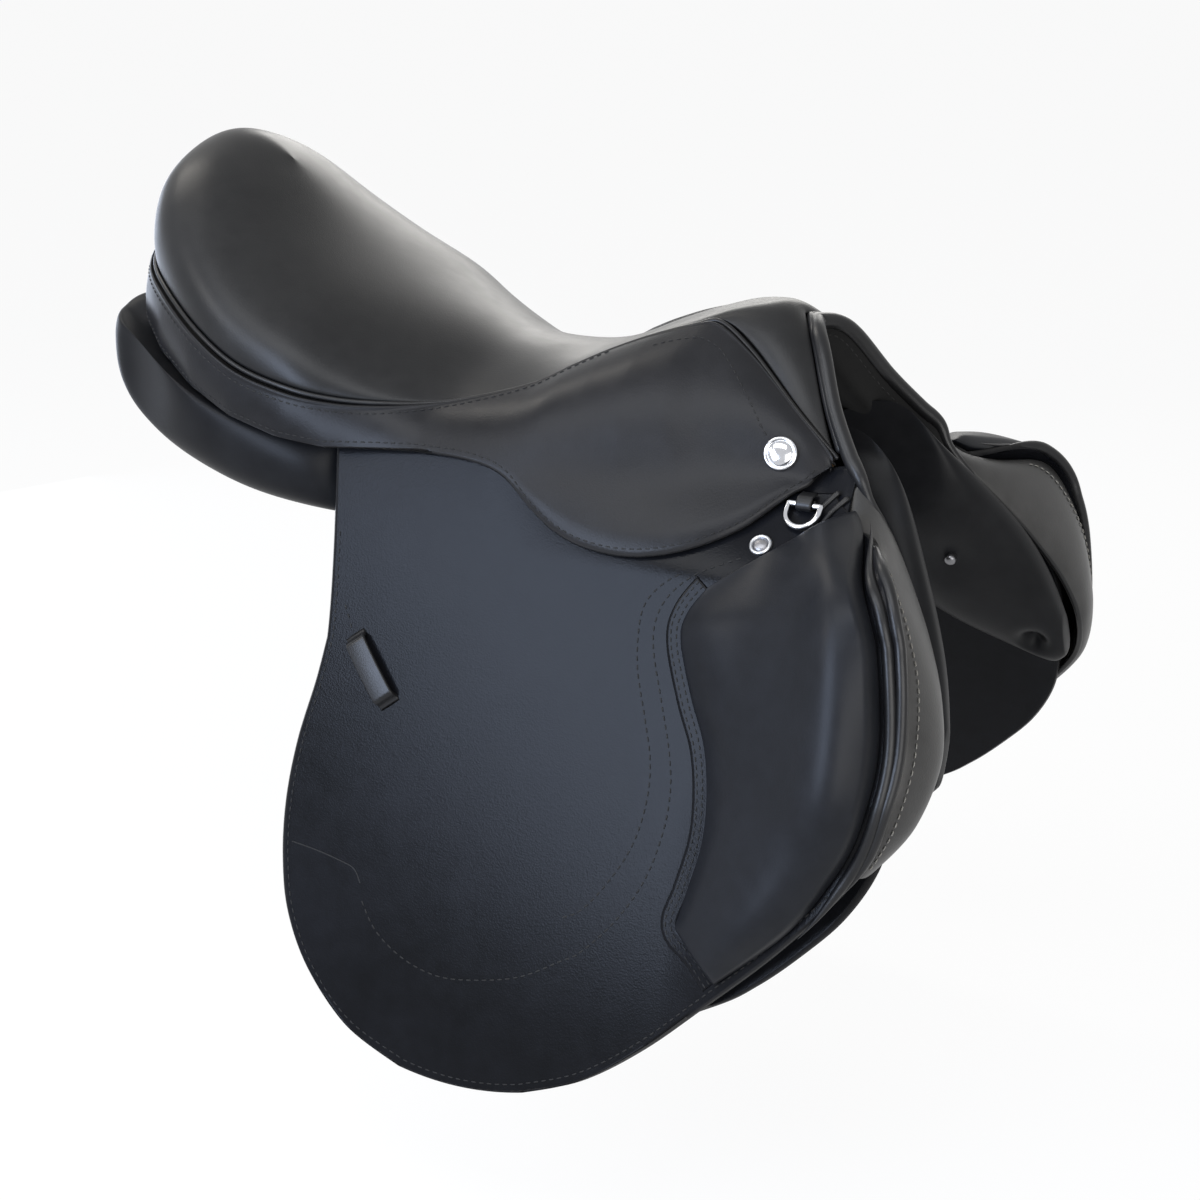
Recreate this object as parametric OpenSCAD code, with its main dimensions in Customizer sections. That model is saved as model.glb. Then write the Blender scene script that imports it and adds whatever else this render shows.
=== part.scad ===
// Jumping saddle with forward flaps, outside knee pads and an open head arch.
// +X runs forward to the pommel, +Y to the horse's left, +Z up, in millimetres.
// The origin lies on the middle plane, under the lowest point of the seat,
// level with the inner edges of the two panels that bear on the back.

/* [Seat] */
// Seat length, skirt nail to the middle of the cantle
seat_length = 435; // [410:1:460]
// Seat width, welt to welt at its widest
seat_width = 238; // [226:1:250]
// Cantle top above the lowest point of the seat
cantle_rise = 107; // [95:1:118]
// Pommel top above the lowest point of the seat
pommel_rise = 38; // [34:1:44]
// Lowest point of the seat above the origin
seat_height = 60; // [60:1:66]
// Thickness of the seat leather
cover_t = 2.4; // [1.6:0.1:3]
// Depth of foam under the leather on the middle line
foam_t = 12; // [8:0.5:13]
// Diameter of the piping around the seat
welt_d = 3.6; // [2.4:0.1:4.4]
// Diameter of the roll along the head arch
bead_d = 8.4; // [6:0.2:9.6]

/* [Skirts] */
// Thickness of the skirt leather
skirt_t = 3.4; // [2.4:0.1:4]
// Air between skirt and flap
skirt_gap = 0.9; // [0.6:0.1:2]
// Head diameter of the skirt nail
skirt_nail_d = 19; // [14:0.5:22]

/* [Flaps] */
// Drop of the flap below the origin
flap_drop = 321; // [300:1:345]
// Thickness of the flap leather
flap_t = 4.4; // [3:0.1:5]
// Height of the knee pad at its front roll
pad_h = 26; // [18:0.5:30]
// Head diameter of the flap nail
flap_nail_d = 13; // [10:0.5:15]
// Length of the strap keeper
keeper_l = 46; // [36:1:56]
// Width of the strap keeper
keeper_w = 14; // [10:0.5:20]
// Clear height under the strap keeper
keeper_gap = 3.4; // [2.5:0.1:3.8]

/* [Sweat flaps and girth straps] */
// Thickness of the sweat flap leather
sweat_t = 3.4; // [2.4:0.1:4]
// Width of a girth strap
billet_w = 25; // [20:0.5:27]
// Thickness of a girth strap
billet_t = 3.6; // [3:0.1:4]
// Length of a girth strap below its anchor
billet_l = 236; // [190:1:250]
// Spacing of the girth straps along the saddle
billet_pitch = 31; // [30:0.5:34]
// Diameter of a girth strap hole
hole_d = 5.6; // [4.5:0.1:7]
// Spacing of the girth strap holes
hole_pitch = 24; // [20:0.5:27]
// Count of holes in a girth strap
hole_count = 6; // [4:1:7]

/* [Panels] */
// Clear width of the channel between the panels
channel_w = 64; // [54:1:70]

/* [Tree and metal] */
// Thickness of the tree
tree_t = 12; // [9:0.5:12.5]
// Width of a tree rail
rail_w = 20; // [16:0.5:22]
// Thickness of the steel plates on the tree
plate_t = 1.6; // [1.2:0.1:2]
// Thickness of the stirrup bar
bar_t = 6; // [5:0.5:7]
// Height of the stirrup bar
bar_h = 11; // [9:0.5:13]
// Length of the stirrup bar catch
catch_l = 17; // [13:0.5:22]
// Wire diameter of the dee ring
dee_wire = 3.2; // [2.4:0.1:3.6]
// Inside width of the dee ring
dee_w = 15; // [12:0.5:17]

/* [Hidden] */
kx = seat_length / 435;
ky = seat_width / 238;
kz = flap_drop / 321;
gap = 0.4;
e = 0.05;
fit_gap = 0.9;
$fn = 32;

// Small helpers for curves
function lerp(a, b, t) = a + (b - a) * t;
function unit(v) = v / norm(v);
function clamp(t) = min(1, max(0, t));
function smooth(t) = let (u = clamp(t)) u * u * (3 - 2 * u);
function flip(p) = [p.x, -p.y, p.z];
function bez(a, b, c, d, t) =
    let (s = 1 - t) s * s * s * a + 3 * s * s * t * b + 3 * s * t * t * c + t * t * t * d;
function spline(a, b, c, d, t) =
    0.5 * (2 * b + (c - a) * t + (2 * a - 5 * b + 4 * c - d) * t * t + (3 * b - a - 3 * c + d) * t * t * t);
function along(p, u) =
    let (n = len(p) - 1, i = min(n - 1, max(0, floor(u * n))), t = u * n - i)
    spline(p[max(0, i - 1)], p[i], p[i + 1], p[min(n, i + 2)], t);
function straight(p, u) =
    let (n = len(p) - 1, i = min(n - 1, max(0, floor(u * n)))) lerp(p[i], p[i + 1], u * n - i);

// Sizes act on the hand-set points through these
function rise(z, x) =
    z <= 60 ? z + (seat_height - 60) * smooth(z / 34)
            : seat_height + (z - 60) * (x < 0 ? cantle_rise / 107 : pommel_rise / 38);
function fit(p) = [p.x * kx, p.y, rise(p.z, p.x)];
function fit_wide(p) = [p.x * kx, p.y * ky, rise(p.z, p.x)];
// Wide only above the points, which stay where the panels leave room
function fit_head(p) =
    let (s = smooth((p.z + 14) / 60))
    [p.x * kx, p.y * lerp(1, ky, s), rise(p.z, p.x) - 16 * max(0, 1 - ky) * s];
// The band keeps outside a wider seat
function fit_band(p) = [p.x * kx, p.y * lerp(1, max(1, ky), smooth(-p.x / 90)), rise(p.z, p.x)];

// Solids from grids of points
function quad(a, b, c, d) = [[a, b, c], [a, c, d]];
function volume(p, f) =
    [for (t = f) 1] * [for (t = f) p[t[0]] * cross(p[t[1]], p[t[2]])];

module closed(p, f) {
    out = volume(p, f) > 0 ? [for (t = f) [t[2], t[1], t[0]]] : f;
    polyhedron(points = p, faces = out, convexity = 8);
}

// Sheet between two grids of the same size
module slab(a, b) {
    r = len(a);
    c = len(a[0]);
    n = r * c;
    p = [for (g = [a, b]) for (row = g) for (q = row) q];
    top = [for (i = [0:r - 2]) for (j = [0:c - 2])
        each quad(i * c + j, (i + 1) * c + j, (i + 1) * c + j + 1, i * c + j + 1)];
    low = [for (t = top) [t[2] + n, t[1] + n, t[0] + n]];
    ends = [for (i = [0:r - 2]) each concat(
        quad((i + 1) * c, i * c, i * c + n, (i + 1) * c + n),
        quad(i * c + c - 1, (i + 1) * c + c - 1, (i + 1) * c + c - 1 + n, i * c + c - 1 + n))];
    rims = [for (j = [0:c - 2]) each concat(
        quad(j, j + 1, j + 1 + n, j + n),
        quad((r - 1) * c + j + 1, (r - 1) * c + j, (r - 1) * c + j + n, (r - 1) * c + j + 1 + n))];
    closed(p, concat(top, low, ends, rims));
}

// Body through a list of closed rings
module loft(g) {
    r = len(g);
    m = len(g[0]);
    p = concat([for (row = g) for (q = row) q],
        [for (k = [0, r - 1]) [for (q = g[k]) 1] * g[k] / m]);
    side = [for (i = [0:r - 2]) for (j = [0:m - 1])
        each quad(i * m + j, (i + 1) * m + j, (i + 1) * m + (j + 1) % m, i * m + (j + 1) % m)];
    caps = [for (j = [0:m - 1]) each [
        [r * m, j, (j + 1) % m],
        [r * m + 1, (r - 1) * m + (j + 1) % m, (r - 1) * m + j]]];
    closed(p, concat(side, caps));
}

function heading(p, i) = unit(p[min(len(p) - 1, i + 1)] - p[max(0, i - 1)]);

// Round bar along a path
module tube(p, d, m) {
    loft([for (i = [0:len(p) - 1])
        let (t = heading(p, i), s = unit(cross(t, [0.31, 0, 0.95])), w = cross(s, t))
        [for (k = [0:m - 1]) p[i] + d / 2 * (cos(360 * k / m) * s + sin(360 * k / m) * w)]]);
}

// Flat bar along a path from a to b: w across, t through, off above the path
module strip(p, a, b, w, t, off) {
    loft([for (i = [a:b])
        let (h = heading(p, i), s = unit(cross(h, [0, 0, 1])), f = cross(s, h), c = p[i] + f * off)
        [for (k = [[1, 1], [-1, 1], [-1, -1], [1, -1]]) c + s * w / 2 * k[0] + f * t / 2 * k[1]]]);
}

// The same for an arch, with its width held fore and aft
module arch(p, a, b, w, t, off) {
    loft([for (i = [a:b])
        let (h = heading(p, i), s = unit(cross(h, cross([1, 0, -0.25], h))), f = cross(s, h),
            c = p[i] + f * off)
        [for (k = [[1, 1], [-1, 1], [-1, -1], [1, -1]]) c + s * w / 2 * k[0] + f * t / 2 * k[1]]]);
}

module on_side(s) {
    if (s > 0) children();
    else mirror([0, 1, 0]) children();
}

// Stands children at p, X along a and Z along n
module stand(p, a, n) {
    z = unit(n);
    x = unit(a - z * (a * z));
    y = cross(z, x);
    multmatrix([[x.x, y.x, z.x, p.x], [x.y, y.y, z.y, p.y], [x.z, y.z, z.z, p.z]]) children();
}

// Seat: each row is welt, two points over the roll, and the middle line
seat_rows = [for (r = [
    [[172, 56, 27], [154, 40, 57], [143, 22, 88], [129.5, 0, 90.5]],
    [[147, 50, 48], [137, 40, 72], [131, 20, 95.5], [125, 0, 96.5]],
    [[113, 33, 75], [112.5, 31, 89], [115.5, 16, 98], [117.5, 0, 98]],
    [[91, 24, 87], [93, 22, 93], [102, 12, 96.5], [106, 0, 96]],
    [[76, 26, 84], [77, 25, 88], [86, 13, 90.5], [90, 0, 90.5]],
    [[54, 30, 77], [55, 29, 80], [64, 15, 81], [68, 0, 81]],
    [[31, 36, 67.5], [32, 35, 70], [40, 18, 70.5], [44, 0, 71]],
    [[11, 46, 58], [12, 45, 60], [18, 23, 62], [20, 0, 62.5]],
    [[-8, 57, 48.5], [-8, 56, 50], [-6, 29, 56], [-5, 0, 59.8]],
    [[-34, 70, 41], [-34, 69, 43], [-33, 36, 53], [-32, 0, 60]],
    [[-60, 83, 36.5], [-60, 83, 41], [-60, 46, 54], [-58, 0, 61.5]],
    [[-85, 98, 36.5], [-85, 99, 48], [-85, 60, 61], [-84, 0, 69]],
    [[-112, 110, 38.5], [-112, 114, 60], [-111, 74, 74], [-110, 0, 79]],
    [[-139, 119, 44], [-140, 124, 78], [-139, 82, 91], [-135, 0, 92]],
    [[-174, 118, 53], [-177, 123, 95], [-170, 82, 111], [-158, 0, 106]],
    [[-207, 109, 68.5], [-213, 114, 117], [-197, 72, 133], [-176, 0, 119]],
    [[-240, 91, 86], [-249, 95, 144], [-215, 56, 156], [-189, 0, 130]],
    [[-262, 71, 97], [-272, 74, 160], [-228, 40, 171], [-197, 0, 137]],
    [[-277, 40, 104], [-287, 41, 173], [-235, 20, 182], [-202, 0, 142]],
    [[-283, 0, 107], [-292, 0, 177], [-239, 0, 187], [-204, 0, 144]]
]) [for (q = r) fit_wide(q)]];
seat_end = len(seat_rows) - 1;

function seat_pt(u, v) =
    let (m = along(seat_rows, u)) bez(m[0] + [0, 0, welt_d / 2], m[1], m[2], m[3], v);
function seat_in(u, v, off) =
    let (
        p = seat_pt(u, v),
        a = u > 0.99 ? [0, 1, 0] : seat_pt(min(1, u + 0.006), v) - seat_pt(max(0, u - 0.006), v),
        b = seat_pt(u, min(1, v + 0.02)) - seat_pt(u, max(0, v - 0.02)),
        c = v > 0.99 ? (u > 0.99 ? cross(a, b) : cross(a, [0, 1, 0])) : cross(a, b),
        n = unit(c),
        m = along(seat_rows, u)[3] - [0, 0, 60]
    ) p - (n * (p - m) < 0 ? -n : n) * off;
function seat_floor(u, v) =
    let (a = seat_in(u, 0, cover_t) - [0, 0, 2.6], b = seat_in(u, 1, cover_t + foam_t))
    lerp(seat_in(u, v, cover_t + 4.5), lerp(a, b, v), smooth((u - 0.16) / 0.16));

seat_n = 20;
seat_m = 7;

// Closed cushion shape: rows run round the seat, columns to the middle line
module seat_shell(a, b) {
    c = seat_m + 1;
    r = 2 * seat_n + 1;
    n = r * c;
    p = concat([for (row = a) for (q = row) q], [for (row = b) for (q = row) q]);
    function id(i, j) = j < seat_m ? i * c + j : (i <= seat_n ? i : 2 * seat_n - i) * c + j;
    top = [for (i = [0:r - 2]) for (j = [0:c - 2])
        each quad(id(i, j), id(i + 1, j), id(i + 1, j + 1), id(i, j + 1))];
    low = [for (t = top) [t[2] + n, t[1] + n, t[0] + n]];
    rim = [for (i = [0:r - 2]) each quad(id(i + 1, 0), id(i, 0), id(i, 0) + n, id(i + 1, 0) + n)];
    front = [for (j = [0:c - 2]) each concat(
        quad(id(0, j), id(0, j + 1), id(0, j + 1) + n, id(0, j) + n),
        quad(id(r - 1, j + 1), id(r - 1, j), id(r - 1, j) + n, id(r - 1, j + 1) + n))];
    closed(p, concat(top, low, rim, front));
}

function seat_grid(f) =
    let (half = [for (i = [0:seat_n]) [for (j = [0:seat_m]) f(i / seat_n, j / seat_m)]])
    concat(half, [for (i = [seat_n - 1:-1:0]) [for (q = half[i]) flip(q)]]);

module seat_cover() {
    color([0.06, 0.06, 0.065])
    seat_shell(seat_grid(function(u, v) seat_pt(u, v)),
        seat_grid(function(u, v) seat_in(u, v, cover_t)));
}

module seat_foam() {
    color([0.75, 0.72, 0.6])
    seat_shell(seat_grid(function(u, v) seat_in(u, v, cover_t + 2 * e)),
        seat_grid(function(u, v) seat_floor(u, v)));
}

function welt_out(u) = let (m = along(seat_rows, u)) unit([m[0].x - m[3].x, m[0].y, 0]);
function welt_pt(u) = along(seat_rows, u)[0] + welt_out(u) * welt_d * 0.78;

module seat_welt() {
    half = [for (i = [0:seat_n]) welt_pt(i / seat_n)];
    path = concat(half, [for (i = [seat_n - 1:-1:0]) flip(half[i])]);
    color([0.04, 0.04, 0.045]) tube(path, welt_d * 0.98, 6);
}

// Roll round the head arch, in front of the seat leather
bead_half = [for (q = [
    [136.7, 0, 87.5], [143.4, 14, 84.5], [151, 25, 75.5], [164.6, 42, 50.5], [179.6, 56, 30], [189.4, 63, 19]
]) fit_head(q)];

module pommel_bead() {
    half = [for (i = [0:13]) along(bead_half, i / 13)];
    path = concat([for (i = [13:-1:1]) flip(half[i])], half);
    color([0.05, 0.05, 0.055]) tube(path, bead_d, 8);
}

// Tree: head arch with its points, then rails and cantle in one loop
head_half = [for (q = [
    [111.5, 0, 79], [118, 13, 76], [124, 22, 68], [137, 36, 45], [152, 49, 23], [168.5, 61, 3], [181, 69, -14]
]) fit_head(q)];
head_w = 24;
head_t = 7;

head_full = let (h = [for (i = [0:14]) along(head_half, i / 14)])
    concat([for (i = [14:-1:1]) flip(h[i])], h);

module tree_head() {
    color([0.7, 0.52, 0.33]) arch(head_full, 0, 28, head_w, head_t, 0);
}

module head_plate() {
    color([0.55, 0.56, 0.58])
    arch(head_full, 7, 21, head_w - 6, plate_t, (head_t + plate_t) / 2 + 1.5 * fit_gap);
}

module gullet_plate() {
    color([0.55, 0.56, 0.58])
    arch(head_full, 7, 21, head_w - 4, plate_t, -(head_t + plate_t) / 2 - 1.5 * fit_gap);
}

module head_lining() {
    color([0.05, 0.05, 0.055])
    arch(head_full, 7, 21, head_w - 2, 1.8, -head_t / 2 - plate_t - 0.9 - 3.2 * fit_gap);
}

tree_line = [for (q = [
    [121.5, 37, 42], [103, 40, 40], [70, 44, 35], [30, 48, 29], [-10, 54, 26], [-60, 65, 26.5],
    [-110, 80, 31.5], [-160, 88, 42], [-205, 82, 57], [-236, 64, 73], [-255, 36, 85], [-261, 0, 89]
]) fit_wide(q)];
tree_under = [for (q = [for (i = [8:-1:0]) tree_line[i]]) [q.x, q.z]];
function rail_z(x) = lookup(x, tree_under);

module tree_frame() {
    path = concat(tree_line, [for (i = [10:-1:0]) flip(tree_line[i])]);
    color([0.7, 0.52, 0.33]) strip(path, 0, len(path) - 1, rail_w, tree_t, 0);
}

module spring(s) {
    on_side(s) color([0.5, 0.51, 0.54])
    strip(tree_line, 1, 8, rail_w * 0.6, plate_t, -(tree_t + plate_t) / 2 - fit_gap);
}

module seat_webbing() {
    xs = [for (i = [3:7]) tree_line[i]];
    z = tree_t / 2 + 0.5;
    a = [for (q = xs) [for (v = [-1, -0.5, 0, 0.5, 1]) [q.x, q.y * v * 1.05, q.z + z + 1.6]]];
    color([0.5, 0.46, 0.38]) slab(a, [for (row = a) [for (q = row) q - [0, 0, 1.6]]]);
}

module tree_rivets() {
    color([0.6, 0.6, 0.62])
    for (s = [1, -1])
    for (k = [1, 2])
    let (q = tree_line[k])
    on_side(s) translate([q.x, q.y, q.z - tree_t / 2 - plate_t - fit_gap - 0.5 - 1.5])
    cylinder(d = 6, h = 1.5, $fn = 20);
}

// Straps that carry the girth straps, hung from the rails
module girth_web(s) {
    xs = [-48, -20, 10, 40];
    function side_y(x) = lookup(x, [for (i = [8:-1:0]) [tree_line[i].x, tree_line[i].y]]) + rail_w / 2 + 0.5;
    a = [for (x = xs) [[x, side_y(x), rail_z(x) + 4], [x, side_y(x) + 1.5, rail_z(x) - 4],
        [x, 85, 4], [x, 89, -8]]];
    b = [for (row = a) [for (q = row) q + [0, 1.5, 0.4]]];
    on_side(s) color([0.32, 0.3, 0.27]) slab(a, b);
}

// Stirrup bar: root plate on the rail, then a bar running back
bar_path = [for (q = [
    [112, 51, 38.5], [111, 59, 37], [106, 65, 34], [96, 68, 31.5], [70, 70.5, 28.5], [46, 72, 27]
]) [q.x * kx, q.y + 40 * (ky - 1) * (q.y < 55 ? 1 : 0.6), rise(q.z, q.x)]];
bar_end = bar_path[5];
bar_dir = unit(bar_path[5] - bar_path[4]);

module stirrup_bar(s) {
    path = [for (i = [0:20]) along(bar_path, i / 20)];
    on_side(s) color([0.62, 0.63, 0.65]) strip(path, 0, 20, bar_t, bar_h, 0);
}

catch_at = bar_end + bar_dir * (gap + bar_h * 0.4);

module bar_catch(s) {
    on_side(s) color([0.62, 0.63, 0.65])
    stand(catch_at, bar_dir, cross(bar_dir, [0, 0, 1])) {
        translate([0, 0, -bar_t / 2]) cylinder(d = bar_h * 0.8, h = bar_t);
        translate([0, -bar_h * 0.4, -bar_t / 2]) cube([catch_l, bar_h * 0.62, bar_t]);
    }
}

// Face of the hanging leather: how far out it stands at x, z
pull = 28;
flare = 14;
function hang(x, z) =
    let (n = x / kx, d = -z / kz)
    110 - 0.03 * n + 0.433 * d - 0.000357 * d * d
    - pull * smooth((n + 20) / 190) * smooth((35 - d) / 55)
    + flare * smooth((n - 130) / 110) * smooth((d + 5) / 45);
function hang_pt(x, z) = [x, hang(x, z), z];
function hang_n(x, z) =
    unit([-(hang(x + 1, z) - hang(x - 1, z)) / 2, 1, -(hang(x, z + 1) - hang(x, z - 1)) / 2]);
function hung(x, z, off) = hang_pt(x, z) + hang_n(x, z) * off;

// Skirt: fixed upper part with the cantle band, and the lobe that lifts
fold_front = fit([167, 72, 17.5]);
fold_rear = fit([-3, 111, 10]);
skirt_low = concat([fit([173, 62, 23])],
    [for (t = [0, 0.145, 0.301, 0.451, 0.613, 0.775, 0.925]) lerp(fold_front, fold_rear, t)],
    [for (q = [[-12, 111.5, 11.5], [-36, 111, 15], [-62, 113, 14.5], [-88, 117, 13], [-116, 122, 13.5],
        [-146, 124.5, 20], [-180, 121, 31], [-213, 111, 46], [-246, 93, 62.5], [-270, 72, 75],
        [-289, 41, 84], [-296, 0, 88]]) fit_band(q)]);
skirt_bow = [0, 5, 13, 18, 21, 22, 20, 16, 10, 6, 4, 3, 3, 3, 3, 3, 3, 3, 3, 3];

function skirt_pt(u, v) =
    let (
        m = along(seat_rows, u), q = straight(skirt_low, u), b = straight(skirt_bow, u),
        o = welt_out(u), c = welt_pt(u),
        n = unit(o * max(1, c.z - q.z) + [0, 0, max(0, (q - c) * o)]),
        d = unit((q - c) * 0.33 + n * b),
        w = c + d * welt_d * 0.92 + unit(n - d * (n * d)) * skirt_t / 2
    ) bez(w, lerp(w, q, 0.33) + n * b, lerp(w, q, 0.67) + n * b, q, v);
function skirt_n(u, v) =
    let (
        m = along(seat_rows, u), o = [m[0].x - m[3].x, m[0].y, 0] + [0, 0, 20],
        a = skirt_pt(min(1, u + 0.006), v) - skirt_pt(max(0, u - 0.006), v),
        b = skirt_pt(u, min(1, v + 0.02)) - skirt_pt(u, max(0, v - 0.02)),
        c = unit(cross(a, b))
    ) u > 0.99 ? unit([-1, 0, 0.5]) : c * o < 0 ? -c : c;

module skirt_band(s) {
    us = [for (i = [0:38]) if (i < 20 || i % 2 == 0) i / 38 * 0.9985 + 0.0005];
    vs = [0, 0.22, 0.5, 0.78, 1];
    a = [for (u = us) [for (v = vs) skirt_pt(u, v)]];
    b = [for (u = us) [for (v = vs) skirt_pt(u, v) - skirt_n(u, v) * skirt_t]];
    on_side(s) color([0.07, 0.07, 0.075]) slab(a, b);
}

lobe_low = [for (q = [[167.5, 16.5], [159, 11], [145, 0.5], [125, -11], [104, -20], [84, -24.5], [63, -25],
    [44, -20], [28, -10], [14, 0], [2, 7]]) q];

function lobe_pt(r, v) =
    let (
        a = lerp(fold_front, fold_rear, 0.012 + 0.976 * r) + [0, 0.6, -0.7],
        q = along(lobe_low, r), x = q[0] * kx, z = q[1],
        l = [x, max(hang(x, z) + skirt_gap + skirt_t + 1.6, a.y + 1), z],
        n = unit([0, a.z - l.z + 0.1, l.y - a.y])
    ) lerp(a, l, v) + n * 17 * v * (1 - v) * smooth(r * 6) * smooth((1 - r) * 6);

module skirt(s) {
    rs = [for (i = [0:18]) i / 18];
    vs = [for (j = [0:4]) j / 4];
    function lobe_n(r, v) =
        let (a = lobe_pt(min(1, r + 0.02), v) - lobe_pt(max(0, r - 0.02), v), b = lobe_pt(r, 1) - lobe_pt(r, 0),
            c = unit(cross(a, b))) c.y < 0 ? -c : c;
    a = [for (r = rs) [for (v = vs) lobe_pt(r, v)]];
    b = [for (r = rs) [for (v = vs) lobe_pt(r, v) - lobe_n(r, v) * skirt_t]];
    on_side(s) color([0.07, 0.07, 0.075]) slab(a, b);
}

// Domed nail head, flat underside on z = 0
module nail(d, h) {
    rotate_extrude($fn = 20)
    polygon(concat([[0, 0], [d / 2, 0], [d / 2, h * 0.25]],
        [for (k = [1:2]) [d / 2 * cos(32 * k), h * (0.3 + 0.7 * sin(32 * k))]], [[0, h]]));
}

nail_u = 1.62 / 19;
nail_v = 0.8;

module skirt_nail(s) {
    on_side(s) color([0.8, 0.81, 0.83])
    stand(skirt_pt(nail_u, nail_v) + skirt_n(nail_u, nail_v) * e, [1, 0, 0], skirt_n(nail_u, nail_v))
    nail(skirt_nail_d, 4);
}

// Flap: the fold runs from the knee pad's top to the rear edge
bend_front = [200 * kx, -2 * kz];
bend_rear = [-101 * kx, -92 * kz];
function bend_z(x) = lerp(bend_rear[1], bend_front[1], (x - bend_rear[0]) / (bend_front[0] - bend_rear[0]));

upper_top = [[-118, 18], [-70, 21], [-20, 19], [30, 10], [80, 6.6], [120, 6.8], [150, 10.4], [183, 12.2]];

module flap_upper(s) {
    xs = [for (i = [0:19]) lerp(-118, 180, i / 19)];
    function top_z(x) = rise(lookup(x, upper_top), x) - 30 * max(0, 1 - ky) - 0.6 * max(0, 60 - seat_height);
    function edge_x(x, v) = lerp(x, x + 17 * (1 - (x + 118) / 298), 1 - pow(1 - v, 1.4)) * kx;
    function at(x, v) = let (n = edge_x(x, v)) [n, lerp(top_z(x), bend_z(n) + 0.6, v)];
    vs = [for (j = [0:4]) j / 4];
    a = [for (x = xs) [for (v = vs) let (q = at(x, v)) hang_pt(q[0], q[1])]];
    b = [for (x = xs) [for (v = vs) let (q = at(x, v)) hung(q[0], q[1], -flap_t)]];
    on_side(s) color([0.075, 0.075, 0.085]) slab(a, b);
}

flap_rear = [[-101, -92], [-104, -116], [-111, -160], [-114, -206], [-100, -257], [-62, -301], [-1, -321]];
flap_front = [[200, -2], [233, -25], [254, -68], [255, -112], [240, -158], [202, -204],
    [156, -252], [100, -300], [35, -321]];

function flap_at(p, q) =
    let (a = along(flap_rear, q), b = along(flap_front, q), c = lerp(a, b, p))
    [c[0] * kx, c[1] * kz - (1 - smooth(q * 3)) * 0.7];

module flap(s) {
    qs = [for (i = [0:17]) i / 17];
    ps = [0, 0.17, 0.34, 0.5, 0.6, 0.68, 0.76, 0.84, 0.92, 1];
    a = [for (q = qs) [for (p = ps) let (c = flap_at(p, q)) hang_pt(c[0], c[1])]];
    b = [for (q = qs) [for (p = ps) let (c = flap_at(p, q)) hung(c[0], c[1], -flap_t)]];
    on_side(s) color([0.075, 0.075, 0.085]) slab(a, b);
}

module flap_nail(s) {
    x = 149.5 * kx;
    z = -14;
    on_side(s) color([0.6, 0.6, 0.61])
    stand(hung(x, z, e + 0.3), [1, 0, 0], hang_n(x, z)) nail(flap_nail_d, 3);
}

// Knee pad: low behind, rolled up along its front
pad_rear = [[124, -37], [117, -56], [122, -82], [136, -112], [146, -142], [150, -168],
    [145, -190], [135, -207]];
pad_front = [[206, 7], [233, -27], [249, -72], [249, -116], [233, -160], [199, -200], [165, -232]];
function pad_at(p, q) = let (c = lerp(along(pad_rear, q), along(pad_front, q), p)) [c[0] * kx, c[1] * kz];
function pad_up(p, q) =
    let (
        rear = 4 + 7 * smooth(p / 0.14),
        roll = smooth((p - 0.3) / 0.45) * sqrt(max(0, 1 - pow(max(0, p - 0.78) / 0.235, 2))),
        lip = 7 * smooth((1 - p) / 0.1),
        top = max(smooth(q / 0.16), 0.5 * smooth((p - 0.45) / 0.4)),
        ends = (0.35 + 0.65 * top) * (0.35 + 0.65 * smooth((1 - q) / 0.2)),
        fade = 1 - 0.45 * smooth((q - 0.45) / 0.5)
    ) min(rear, 4 + lip) * (0.5 + 0.5 * ends) + (pad_h - 11) * roll * ends * fade;

module knee_pad(s) {
    qs = [for (i = [0:15]) i / 15];
    ps = [0, 0.05, 0.12, 0.25, 0.42, 0.58, 0.7, 0.8, 0.9, 0.96, 1];
    a = [for (q = qs) [for (p = ps) let (c = pad_at(p, q)) hung(c[0], c[1], pad_up(p, q) + 0.9)]];
    b = [for (q = qs) [for (p = ps) let (c = pad_at(p, q)) hung(c[0], c[1], 0.9)]];
    on_side(s) color([0.06, 0.065, 0.08]) slab(a, b);
}

module keeper(s) {
    x = -67 * kx;
    z = -105 * kz;
    h = keeper_gap + 2.6;
    on_side(s) color([0.05, 0.05, 0.055])
    stand(hung(x, z, 0.15), [29, 11, -34], hang_n(x, z))
    rotate([90, 0, 0]) translate([0, 0, -keeper_w / 2]) linear_extrude(keeper_w)
    polygon([[-keeper_l / 2, 0], [-keeper_l / 2 + 4, h], [keeper_l / 2 - 4, h], [keeper_l / 2, 0],
        [keeper_l / 2 - 6, 0], [keeper_l / 2 - 8, keeper_gap], [8 - keeper_l / 2, keeper_gap],
        [6 - keeper_l / 2, 0]]);
}

// Dee ring in a leather tab below the skirt
dee_x = 166.5 * kx;
dee_z = 3.4;
tab_w = dee_w - 3;
dee_n = hang_n(dee_x, dee_z);
dee_p = hung(dee_x, dee_z, dee_wire / 2 + 2.2);

module dee_chape(s) {
    on_side(s) color([0.06, 0.06, 0.065])
    stand(dee_p, [1, 0, 0], dee_n)
    difference() {
        translate([-tab_w / 2, -dee_wire / 2 - 2.4, -dee_wire / 2 - 1.7])
        cube([tab_w, dee_wire + 4, dee_wire + 3.3]);
        rotate([0, 90, 0]) cylinder(d = dee_wire + 2 * gap, h = tab_w + 2, center = true);
    }
}

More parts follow.
